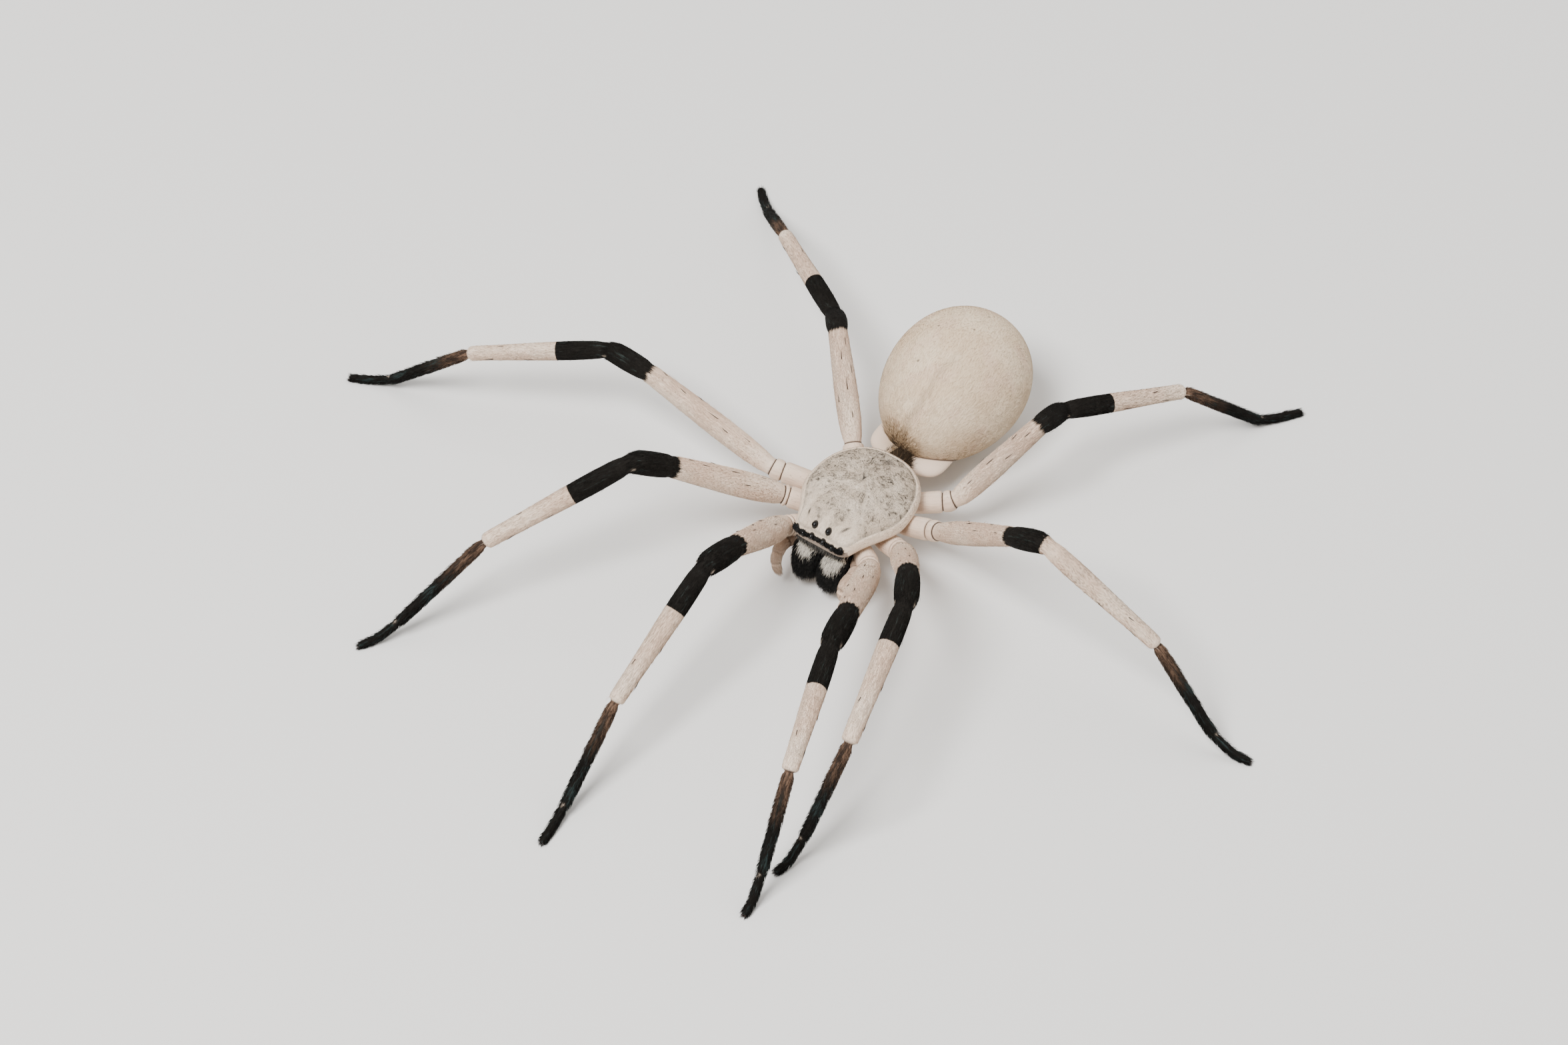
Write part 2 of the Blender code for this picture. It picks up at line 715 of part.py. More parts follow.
def build_fang(side, group):
    """The fang folded in under a jaw's end."""
    path = [(Vector((side * across, ahead, height)), radius) for across, ahead, height, radius in FANG_LINE]
    return tube(f"fang_{side_name(side)}", path, group, resolution=2)


def build_palp(side, group):
    """One palp, from its base beside the jaws to its tip, bent and held close to them."""
    points = [Vector(place) for place in PALP_PLACES[side]]
    return tube(f"palp_{side_name(side)}", list(zip(points, PALP_RADII)), group)


def side_name(side):
    """The name of a side: the spider's left is +X."""
    return "left" if side > 0 else "right"


def build_eyes(group):
    """The eight eyes, in two rows of four."""
    eyes = []
    for name, (across, ahead, height, radius) in EYES.items():
        for side in (-1, 1):
            centre = Vector((EYES_MIDDLE + side * across, ahead, height))
            node = f"eye_{name}_{side_name(side)}"
            eyes.append(shaped_sphere(node, group, lambda unit: centre + unit * radius, 12, 8))
    return eyes


def paint(nodes, materials):
    """Gives each node its own copy of the finish that it shows most of."""
    finishes = {
        "coxa": "pale_cuticle",
        "femur": "pale_cuticle",
        "patella_tibia": "black_band",
        "metatarsus": "brown_foot",
        "tarsus": "black_band",
        "carapace": "carapace_grey",
        "sternum": "pale_cuticle",
        "abdomen": "abdomen_velvet",
        "pedicel": "pale_cuticle",
        "spinnerets": "pale_cuticle",
        "chelicera": "black_band",
        "fang": "fang_black",
        "palp": "pale_cuticle",
        "eye": "eye_black",
    }
    for obj in nodes:
        words = [word for word in finishes if word in obj.name]
        finish = materials[finishes[max(words, key=len)]].copy()
        finish.name = f"{obj.name}_finish"
        obj.data.materials.clear()
        obj.data.materials.append(finish)


def centre_on_floor(nodes, group):
    """Parents the nodes to an empty and moves it, so that the box's middle is over the origin."""
    corners = [vert.co for obj in nodes for vert in obj.data.vertices]
    low = [min(corner[axis] for corner in corners) for axis in range(3)]
    high = [max(corner[axis] for corner in corners) for axis in range(3)]
    stand = bpy.data.objects.new("spider_frame", None)
    group.objects.link(stand)
    stand.location = (-(low[0] + high[0]) / 2, -(low[1] + high[1]) / 2, -low[2])
    for obj in nodes:
        obj.parent = stand


def main():
    """Builds the spider."""
    clear_scene()
    group, helpers = make_collections()
    materials = make_materials()
    sternum = build_sternum(group)
    carapace = build_carapace(group)
    abdomen = build_abdomen(group, helpers)
    pedicel = build_pedicel(group)
    carve(pedicel, [sternum, carapace, abdomen], GAP, helpers)
    spinnerets = build_spinnerets(group, helpers)
    carve(spinnerets, [abdomen], GAP, helpers)
    eyes = build_eyes(group)
    nodes = [sternum, carapace, abdomen, pedicel, spinnerets, *eyes]
    legs = {}
    coxae = []
    for name, pose in POSES.items():
        legs[name] = build_leg(name, pose, group)
        carve(legs[name]["coxa"], [sternum, carapace, pedicel, abdomen, *coxae], GAP, helpers)
        coxae.append(legs[name]["coxa"])
        nodes.extend(legs[name].values())
    femora = [leg["femur"] for leg in legs.values()]
    jaws = []
    for side in (-1, 1):
        jaw = build_chelicera(side, group)
        carve(jaw, [sternum, carapace, *coxae, *jaws], GAP, helpers)
        jaws.append(jaw)
    for side in (-1, 1):
        fang = build_fang(side, group)
        carve(fang, jaws, GAP, helpers)
        palp = build_palp(side, group)
        carve(palp, [sternum, carapace, *jaws, *coxae, *femora], GAP, helpers)
        nodes.extend((fang, palp))
    for side, jaw in zip((-1, 1), jaws):
        grow_brush(jaw, side, helpers)
    for name, pose in POSES.items():
        grow_spines(legs[name], pose, helpers)
    nodes.extend(jaws)
    carve(carapace, eyes, EYE_GAP, helpers)
    paint(nodes, materials)
    centre_on_floor(nodes, group)
    bpy.data.collections.remove(helpers)


main()
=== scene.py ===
"""Looks of the white lady spider of the Namib dunes, a large pale huntsman, as a life-size model.

Skins run without a seam over each limb, the jaws, the cephalothorax and the abdomen. Down and
bristle lie over them as solid tufts. Lengths are millimetres in the spider's own frame, with the
head toward -Y, its left toward +X and the floor at z = 0, and become metres as a mesh is made.
"""

import logging
import math
from collections.abc import Callable
from dataclasses import dataclass, field
from enum import Enum

import bmesh
import bpy
import numpy as np
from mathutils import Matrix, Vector


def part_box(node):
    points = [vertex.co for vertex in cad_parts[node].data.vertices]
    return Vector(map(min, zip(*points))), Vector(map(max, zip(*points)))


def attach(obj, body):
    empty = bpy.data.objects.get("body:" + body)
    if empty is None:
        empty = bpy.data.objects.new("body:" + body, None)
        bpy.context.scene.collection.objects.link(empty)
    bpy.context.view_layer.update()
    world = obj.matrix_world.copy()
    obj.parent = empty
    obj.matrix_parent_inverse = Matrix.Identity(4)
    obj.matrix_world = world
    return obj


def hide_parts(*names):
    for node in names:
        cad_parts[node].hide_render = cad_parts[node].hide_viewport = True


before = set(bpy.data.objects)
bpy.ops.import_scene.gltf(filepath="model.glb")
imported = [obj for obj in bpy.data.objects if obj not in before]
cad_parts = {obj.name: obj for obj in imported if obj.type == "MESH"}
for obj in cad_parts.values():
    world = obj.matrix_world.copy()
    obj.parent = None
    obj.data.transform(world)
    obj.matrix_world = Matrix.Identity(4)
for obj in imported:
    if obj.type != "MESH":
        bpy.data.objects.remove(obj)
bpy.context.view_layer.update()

LOG = logging.getLogger("white_lady_spider")
MM = 0.001
STERNUM_MIDDLE_Y = -0.3
sternum_low, sternum_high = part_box("sternum")
ORIGIN = np.array(
    (
        (sternum_low.x + sternum_high.x) / 2,
        (sternum_low.y + sternum_high.y) / 2 - STERNUM_MIDDLE_Y * MM,
        0.0,
    )
)
SEED = 20
# The side of a tuft's patch on the bake map, and how deep a tuft starts under the skin.
TUFT_PATCH = 0.003
TUFT_SINK = 0.05
FLOOR_CLEARANCE = 0.015
# How far apart on the unit sphere the points are that give a surface's slope.
NUDGE = 0.002
# A place of the legs' scale that is pale, for pieces that share the legs' finish.
PALE_PLACE = 1.5
Keys = tuple[tuple[float, float], ...]
Piece = bpy.types.Object
Socket = bpy.types.NodeSocket
Random = np.random.Generator
Material = bpy.types.Material
Rows = np.ndarray
Marks = dict[str, np.ndarray]


class Side(Enum):
    """A side of the spider: its left is +X."""

    LEFT = 1
    RIGHT = -1

    @property
    def word(self) -> str:
        """The side's name as the nodes have it."""
        return self.name.lower()


def placed(points: Rows) -> Rows:
    """Turns points of the spider's frame, in millimetres, into world points in metres."""
    return points * MM + ORIGIN


def unit(rows: Rows) -> Rows:
    """Rows made one unit long."""
    return rows / np.maximum(np.linalg.norm(rows, axis=-1, keepdims=True), 1e-12)


def eased(at: Rows, keys: Keys) -> Rows:
    """A smooth curve through keys that never swings past them.

    Args:
        at: where the curve is read.
        keys: (place, value) pairs in order.

    Returns:
        The curve's values.
    """
    x, y = np.array(keys, float).T
    slope = np.diff(y) / np.diff(x)
    inner = np.where(slope[1:] * slope[:-1] > 0, 2 * slope[1:] * slope[:-1], 0.0)
    inner = inner / np.where(inner == 0, 1.0, slope[1:] + slope[:-1])
    steep = np.concatenate(([0.0], inner, [0.0]))
    at = np.clip(at, x[0], x[-1])
    i = np.clip(np.searchsorted(x, at, side="right") - 1, 0, len(x) - 2)
    width = x[i + 1] - x[i]
    t = (at - x[i]) / width
    rise = y[i] * (1 + 2 * t) * (1 - t) ** 2 + y[i + 1] * t * t * (3 - 2 * t)
    return rise + width * (steep[i] * t * (1 - t) ** 2 - steep[i + 1] * t * t * (1 - t))


def hump(at: Rows, middle: float, width: float) -> Rows:
    """A bell of height 1, which falls to about a third at a width from its middle."""
    return np.exp(-(((at - middle) / width) ** 2))


def mound(x: Rows, y: Rows, middle: tuple, size: tuple) -> Rows:
    """A bell of height 1 over a plane, with its middle and its widths across and along."""
    return np.exp(-(((x - middle[0]) / size[0]) ** 2) - ((y - middle[1]) / size[1]) ** 2)


def laid(rows: Rows, out: Rows) -> Rows:
    """Directions laid flat on a surface that faces out, one unit long."""
    return unit(rows - out * np.sum(rows * out, axis=1)[:, None])


def sloped(shape: Callable[[Rows], Rows], ball: Rows, first: Rows, second: Rows) -> tuple[Rows, Rows]:
    """Where points of the unit sphere go on a surface, and its slope there.

    Args:
        shape: turns rows of the unit sphere into rows of the spider's frame.
        ball: rows on the unit sphere.
        first: a direction in which the slope is measured.
        second: another such direction.

    Returns:
        The places and the unit normals, which may still point inwards.
    """
    here = shape(ball)
    one = shape(unit(ball + first * NUDGE))
    two = shape(unit(ball + second * NUDGE))
    return here, unit(np.cross(one - here, two - here))


class Bench:
    """Modelling steps made with Blender's operators, as by hand."""

    @staticmethod
    def only(obj: Piece) -> None:
        """Makes an object the only one selected.

        Args:
            obj: the object to work on.
        """
        bpy.ops.object.select_all(action="DESELECT")
        obj.select_set(True)
        bpy.context.view_layer.objects.active = obj

    @staticmethod
    def tube(name: str, sides: int, cuts: int) -> Piece:
        """A capped cylinder of radius 1 from z = 0 to 1, cut twice along its length.

        Args:
            name: the object's name.
            sides: how many flats go round it.
            cuts: how many cuts each of the two subdivisions makes.

        Returns:
            The tube, with (cuts + 1) squared stretches.
        """
        bpy.ops.object.select_all(action="DESELECT")
        bpy.ops.mesh.primitive_cylinder_add(
            vertices=sides, radius=1.0, depth=1.0, end_fill_type="TRIFAN", location=(0, 0, 0.5)
        )
        obj = bpy.context.object
        obj.name = obj.data.name = name
        bpy.ops.object.transform_apply(location=True, rotation=True, scale=True)
        bpy.ops.object.mode_set(mode="EDIT")
        bpy.ops.mesh.select_mode(type="EDGE")
        for _ in range(2):
            bpy.ops.mesh.select_all(action="DESELECT")
            cage = bmesh.from_edit_mesh(obj.data)
            for edge in cage.edges:
                start, end = edge.verts
                edge.select = abs(start.co.z - end.co.z) > 1e-6
            bmesh.update_edit_mesh(obj.data)
            bpy.ops.mesh.subdivide(number_cuts=cuts)
        bpy.ops.object.mode_set(mode="OBJECT")
        return obj

    @staticmethod
    def ball(name: str, segments: int, rings: int) -> Piece:
        """A sphere of radius 1 at the origin.

        Args:
            name: the object's name.
            segments: how many segments go round it.
            rings: how many rings go from pole to pole.

        Returns:
            The sphere, polar along Z.
        """
        bpy.ops.object.select_all(action="DESELECT")
        bpy.ops.mesh.primitive_uv_sphere_add(segments=segments, ring_count=rings, radius=1.0)
        obj = bpy.context.object
        obj.name = obj.data.name = name
        return obj

    @staticmethod
    def smooth(obj: Piece, degrees: float = 60.0) -> None:
        """Shades an object smooth, but for edges sharper than an angle in degrees."""
        Bench.only(obj)
        bpy.ops.object.shade_smooth_by_angle(angle=math.radians(degrees))


def read_points(obj: Piece) -> Rows:
    """The vertices of a mesh object, one a row."""
    flat = np.empty(len(obj.data.vertices) * 3, np.float32)
    obj.data.vertices.foreach_get("co", flat)
    return flat.reshape(-1, 3).astype(float)


def write_points(obj: Piece, points: Rows) -> None:
    """Puts a mesh's vertices at points of the spider's frame, and keeps them off the floor.

    Args:
        obj: the mesh object, in the same order as the rows.
        points: rows in millimetres.
    """
    points = points.copy()
    points[:, 2] = np.maximum(points[:, 2], FLOOR_CLEARANCE)
    obj.data.vertices.foreach_set("co", placed(points).astype(np.float32).ravel())
    obj.data.update()


def store(obj: Piece, name: str, values: Rows) -> None:
    """Keeps a number or a vector for each vertex, which a material can read.

    Args:
        obj: the mesh object.
        name: the attribute's name.
        values: one number or one row of three a vertex.
    """
    if values.ndim == 1:
        layer = obj.data.attributes.new(name, "FLOAT", "POINT")
        layer.data.foreach_set("value", values.astype(np.float32))
        return
    layer = obj.data.attributes.new(name, "FLOAT_VECTOR", "POINT")
    layer.data.foreach_set("vector", values.astype(np.float32).ravel())


def recall(obj: Piece, name: str) -> Rows:
    """Reads back what store kept, one number or one row of three a vertex."""
    layer = obj.data.attributes[name]
    width, key = (3, "vector") if layer.data_type == "FLOAT_VECTOR" else (1, "value")
    flat = np.empty(len(layer.data) * width, np.float32)
    layer.data.foreach_get(key, flat)
    return flat.reshape(-1, 3) if width == 3 else flat


def make_pale(obj: Piece) -> None:
    """Gives a piece with the legs' finish their pale part all over."""
    layer = obj.data.attributes["place"]
    layer.data.foreach_set("value", np.full(len(layer.data), PALE_PLACE, np.float32))


# Coat


@dataclass
class Tufts:
    """Tufts of hair, one a row: where each is rooted, how it lies and what it is marked with."""

    roots: Rows
    lie: Rows
    bend: Rows
    length: Rows
    width: Rows
    spot: Rows
    marks: Marks = field(default_factory=dict)

    def joined(self, other: "Tufts") -> "Tufts":
        """These tufts and others in one set.

        Args:
            other: tufts with the same marks.

        Returns:
            Both sets, these first.
        """
        marks = {name: np.concatenate((rows, other.marks[name])) for name, rows in self.marks.items()}
        pairs = ((getattr(self, key), getattr(other, key)) for key in self.columns())
        return Tufts(*(np.concatenate(pair) for pair in pairs), marks)

    def kept(self, keep: Rows) -> "Tufts":
        """Only the tufts that a mask keeps."""
        marks = {name: rows[keep] for name, rows in self.marks.items()}
        return Tufts(*(getattr(self, key)[keep] for key in self.columns()), marks)

    @staticmethod
    def columns() -> tuple[str, ...]:
        """The names of the plain arrays."""
        return ("roots", "lie", "bend", "length", "width", "spot")

    def grow(self, name: str, bent: bool = True) -> Piece:
        """Makes every tuft a closed spike of three sides, all in one mesh.

        Args:
            name: the object's name.
            bent: whether each spike also bends at its middle.

        Returns:
            The coat, with its marks as attributes and its bake map.
        """
        count = len(self.roots)
        aside = unit(np.cross(self.lie, (0.31, 0.52, 0.80)))
        above = np.cross(self.lie, aside)
        length, width = self.length[:, None], self.width[:, None]
        size = 7 if bent else 4
        points = np.empty((count, size, 3))
        for corner in range(3):
            turn = 2 * math.pi * corner / 3
            spread = (aside * math.cos(turn) + above * math.sin(turn)) * width
            points[:, corner] = self.roots - self.lie * TUFT_SINK + spread * 0.5
            if bent:
                middle = self.roots + self.lie * length * 0.5 + self.bend * length * 0.28
                points[:, 3 + corner] = middle + spread * 0.40
        points[:, -1] = self.roots + self.lie * length + self.bend * length
        low = size - 4
        level = 1.5 if bent else 0.0
        faces = [(0, 2, 1)] + [(low + k, low + (k + 1) % 3, size - 1) for k in range(3)]
        patch = [(0, 0), (1, 0), (0, 0.6)]
        for k in range(3):
            patch += [(k, level), (k + 1, level), (k + 0.5, 3)]
        if bent:
            faces += [(k, (k + 1) % 3, 3 + (k + 1) % 3, 3 + k) for k in range(3)]
            for k in range(3):
                patch += [(k, 0), (k + 1, 0), (k + 1, level), (k, level)]
        mesh = bpy.data.meshes.new(name)
        obj = bpy.data.objects.new(name, mesh)
        bpy.context.scene.collection.objects.link(obj)
        corners = np.concatenate([np.array(face) for face in faces])
        sizes = np.array([len(face) for face in faces])
        mesh.vertices.add(count * size)
        mesh.loops.add(count * len(corners))
        mesh.polygons.add(count * len(faces))
        shift = np.arange(count)[:, None]
        mesh.loops.foreach_set("vertex_index", (corners + shift * size).ravel().astype(np.int32))
        starts = np.concatenate(([0], np.cumsum(sizes)[:-1]))
        starts = (starts + shift * len(corners)).ravel()
        mesh.polygons.foreach_set("loop_start", starts.astype(np.int32))
        mesh.polygons.foreach_set("loop_total", np.tile(sizes, count).astype(np.int32))
        mesh.polygons.foreach_set("use_smooth", np.ones(count * len(faces), bool))
        write_points(obj, points.reshape(-1, 3))
        layer = mesh.uv_layers.new(name="OFBake")
        place = self.spot[:, None, :] + np.array(patch)[None] / 3 * TUFT_PATCH
        layer.data.foreach_set("uv", place.ravel().astype(np.float32))
        for mark, rows in self.marks.items():
            store(obj, mark, np.repeat(rows, size, axis=0))
        share = (0, 0, 0, 0.5, 0.5, 0.5, 1.0) if bent else (0, 0, 0, 1.0)
        store(obj, "tip", np.tile(share, count))
        mesh.validate()
        return obj


# Materials


class Shader:
    """A Principled material that is built node by node."""

    def __init__(self, name: str, roughness: float, sheen: float = 0.0, specular: float = 0.4) -> None:
        """Starts a material.

        Args:
            name: its name.
            roughness: how dull it is all over.
            sheen: how much soft light its down catches.
            specular: how strongly it mirrors.
        """
        self.material = bpy.data.materials.new(name)
        self.material.use_nodes = True
        self.tree = self.material.node_tree
        self.surface = self.tree.nodes["Principled BSDF"]
        self.surface.inputs["Roughness"].default_value = roughness
        self.surface.inputs["Sheen Weight"].default_value = sheen
        self.surface.inputs["Sheen Roughness"].default_value = 0.45
        self.surface.inputs["Specular IOR Level"].default_value = specular

    def feed(self, socket: Socket, value: object) -> None:
        """Links a node's output to a socket, or sets a plain value on it.

        Args:
            socket: the input.
            value: an output socket, a number or a tuple.
        """
        if isinstance(value, Socket):
            self.tree.links.new(value, socket)
        else:
            socket.default_value = value

    def mark(self, name: str, vector: bool = False) -> Socket:
        """Reads an attribute of the mesh.

        Args:
            name: the attribute.
            vector: whether it holds vectors.

        Returns:
            The socket that gives it.
        """
        node = self.tree.nodes.new("ShaderNodeAttribute")
        node.attribute_name = name
        return node.outputs["Vector" if vector else "Fac"]

    def here(self, middle: Vector = Vector((0, 0, 0)), scale: tuple = (1, 1, 1)) -> Socket:
        """Object coordinates in millimetres of the spider's frame, from a point.

        Args:
            middle: the point that becomes the origin.
            scale: how each axis is stretched about it.

        Returns:
            The socket that gives them.
        """
        source = self.tree.nodes.new("ShaderNodeTexCoord")
        mapping = self.tree.nodes.new("ShaderNodeMapping")
        mapping.vector_type = "POINT"
        for axis in range(3):
            stretch = scale[axis] / MM
            mapping.inputs["Scale"].default_value[axis] = stretch
            start = ORIGIN[axis] + middle[axis] * MM
            mapping.inputs["Location"].default_value[axis] = -start * stretch
        self.tree.links.new(source.outputs["Object"], mapping.inputs["Vector"])
        return mapping.outputs["Vector"]

    def stretched(self, vector: Socket, scale: tuple) -> Socket:
        """A vector with each axis scaled.

        Args:
            vector: the vector's socket.
            scale: the three factors.

        Returns:
            The scaled vector.
        """
        node = self.tree.nodes.new("ShaderNodeVectorMath")
        node.operation = "MULTIPLY"
        self.feed(node.inputs[0], vector)
        self.feed(node.inputs[1], scale)
        return node.outputs["Vector"]

    def noise(self, vector: Socket, scale: float, detail: float = 3.0, twist: float = 0.0) -> Socket:
        """Soft noise from about 0.2 to 0.8.

        Args:
            vector: the coordinates.
            scale: how fine it is.
            detail: how many finer layers it has.
            twist: how far it is distorted.

        Returns:
            The noise.
        """
        node = self.tree.nodes.new("ShaderNodeTexNoise")
        self.feed(node.inputs["Vector"], vector)
        self.feed(node.inputs["Scale"], scale)
        self.feed(node.inputs["Detail"], detail)
        self.feed(node.inputs["Distortion"], twist)
        return node.outputs["Fac"]

    def math(self, operation: str, a: object, b: object = 0.0) -> Socket:
        """One step of arithmetic.

        Args:
            operation: Blender's name for it.
            a: the first value.
            b: the second value.

        Returns:
            The result.
        """
        node = self.tree.nodes.new("ShaderNodeMath")
        node.operation = operation
        self.feed(node.inputs[0], a)
        self.feed(node.inputs[1], b)
        return node.outputs["Value"]

    def plus(self, a: object, b: object) -> Socket:
        """The sum of two values."""
        return self.math("ADD", a, b)

    def minus(self, a: object, b: object) -> Socket:
        """The first value less the second."""
        return self.math("SUBTRACT", a, b)

    def times(self, a: object, b: object) -> Socket:
        """The product of two values."""
        return self.math("MULTIPLY", a, b)

    def step(self, value: object, start: object, end: object) -> Socket:
        """A smooth rise from 0 at one value to 1 at another.

        Args:
            value: what is measured.
            start: where the rise begins.
            end: where it ends.

        Returns:
            The rise, from 0 to 1.
        """
        node = self.tree.nodes.new("ShaderNodeMapRange")
        node.interpolation_type = "SMOOTHSTEP"
        self.feed(node.inputs["Value"], value)
        self.feed(node.inputs["From Min"], start)
        self.feed(node.inputs["From Max"], end)
        return node.outputs["Result"]

    def fall(self, value: object, start: object, end: object) -> Socket:
        """A smooth fall from 1 at one value to 0 at another."""
        return self.minus(1.0, self.step(value, start, end))

    def length(self, vector: Socket) -> Socket:
        """The length of a vector."""
        node = self.tree.nodes.new("ShaderNodeVectorMath")
        node.operation = "LENGTH"
        self.feed(node.inputs[0], vector)
        return node.outputs["Value"]

    def split(self, vector: Socket) -> list[Socket]:
        """The three parts of a vector."""
        node = self.tree.nodes.new("ShaderNodeSeparateXYZ")
        self.feed(node.inputs[0], vector)
        return list(node.outputs)

    def blend(self, share: object, a: object, b: object) -> Socket:
        """A colour between two.

        Args:
            share: 0 for the first colour, 1 for the second.
            a: the first colour.
            b: the second colour.

        Returns:
            The colour's socket.
        """
        node = self.tree.nodes.new("ShaderNodeMix")
        node.data_type = "RGBA"
        self.feed(node.inputs["Factor"], share)
        for name, colour in (("A", a), ("B", b)):
            socket = next(s for s in node.inputs if s.name == name and s.type == "RGBA")
            self.feed(socket, (*colour, 1.0) if isinstance(colour, tuple) else colour)
        return next(s for s in node.outputs if s.type == "RGBA")

    def over(self, base: object, colour: object, share: object, amount: float) -> Socket:
        """A colour with an amount of another laid over it, where a share from 0 to 1 says."""
        return self.blend(self.times(share, amount), base, colour)

    def coloured(self, colour: object) -> None:
        """Gives the surface its colour."""
        self.feed(self.surface.inputs["Base Color"], colour)

    def raised(self, height: Socket, depth: float, strength: float = 0.6) -> None:
        """Gives the surface a fine relief.

        Args:
            height: the relief, from 0 to 1.
            depth: its height in millimetres.
            strength: how much of it shows.
        """
        node = self.tree.nodes.new("ShaderNodeBump")
        node.inputs["Distance"].default_value = depth * MM
        node.inputs["Strength"].default_value = strength
        self.feed(node.inputs["Height"], height)
        self.tree.links.new(node.outputs["Normal"], self.surface.inputs["Normal"])


@dataclass(frozen=True)
class LimbFinish:
    """Pinkish white down, black over the knees with painted glints, and feet that go from brown to black,
    with painted shade in the folds.
    """

    pale: tuple = (0.70, 0.52, 0.395)
    white: tuple = (0.80, 0.65, 0.52)
    streak: tuple = (0.30, 0.21, 0.155)
    black: tuple = (0.0092, 0.0077, 0.0062)
    # The glint and the teal below are painted highlight streaks on the black hair.
    glint: tuple = (0.032, 0.043, 0.039)
    brown: tuple = (0.165, 0.100, 0.066)
    dark_brown: tuple = (0.040, 0.026, 0.019)
    teal_glint: tuple = (0.028, 0.042, 0.040)
    # Painted shade for the folds and joints, which the pores also take as their own dark brown.
    crease: tuple = (0.035, 0.020, 0.014)
    amber: tuple = (0.33, 0.16, 0.075)
    band_from: tuple = (1.960, 1.985)
    foot_from: tuple = (3.990, 4.002)
    foot_black: tuple = (4.08, 4.58)
    raggedness: float = 0.16

    def build(self, name: str, coat: bool) -> Material:
        """Makes the skin's or the coat's material.

        Args:
            name: its name.
            coat: whether it is for tufts.

        Returns:
            The material.
        """
        shader = Shader(name, roughness=0.85, specular=0.12)
        place = shader.mark("place")
        lie = shader.mark("lie", vector=True)
        tone = shader.mark("tone")
        grain = shader.noise(shader.stretched(lie, (4.2, 4.2, 0.42)), 1.0, 4.0)
        cloud = shader.noise(shader.stretched(lie, (0.5, 0.5, 0.22)), 1.0, 2.0)
        ragged = shader.times(shader.minus(grain, 0.5), self.raggedness)
        edge = shader.plus(place, ragged)
        along = shader.times(shader.mark("span"), shader.mark("tip"))
        reach = shader.plus(place, along)
        near = shader.plus(shader.times(edge, 0.5), shader.times(reach, 0.5))
        fair = shader.blend(shader.step(cloud, 0.35, 0.68), self.pale, self.white)
        fair = shader.over(fair, self.streak, shader.step(grain, 0.52, 0.66), 0.18)
        fair = shader.over(fair, self.streak, shader.step(tone, 0.90, 0.97), 0.18)
        pores = shader.noise(shader.stretched(lie, (4.6, 4.6, 3.4)), 1.0, 2.0)
        fair = shader.over(fair, self.crease, shader.step(pores, 0.67, 0.70), 0.28)
        fair = shader.blend(shader.mark("blush"), fair, self.amber)
        # Painted highlight streaks run along the black band.
        night = shader.blend(shader.step(grain, 0.58, 0.76), self.black, self.glint)
        band_start = shader.step(near, *self.band_from)
        band_end = shader.mark("band_end")
        after = shader.step(reach, band_end, shader.plus(band_end, 0.006))
        band = shader.times(band_start, shader.minus(1.0, after))
        leg = shader.blend(band, fair, night)
        earth = shader.blend(shader.step(grain, 0.40, 0.56), self.brown, self.dark_brown)
        deep = shader.step(edge, *self.foot_black)
        # Painted teal highlight streaks run along the black of the foot.
        shoe = shader.blend(shader.step(grain, 0.53, 0.66), self.black, self.teal_glint)
        foot = shader.blend(deep, earth, shoe)
        leg = shader.blend(shader.step(place, *self.foot_from), leg, foot)
        leg = shader.blend(shader.mark("spot"), leg, self.white)
        leg = shader.over(leg, self.streak, shader.mark("ring"), 0.7)
        # Painted shade darkens the folds at the leg's root and ankle and at the palp's joints.
        leg = shader.blend(shader.mark("crease"), leg, self.crease)
        shader.coloured(leg)
        if not coat:
            fine = shader.noise(shader.stretched(lie, (5.0, 5.0, 1.3)), 1.0, 5.0, 0.8)
            shader.raised(fine, 0.14)
        return shader.material


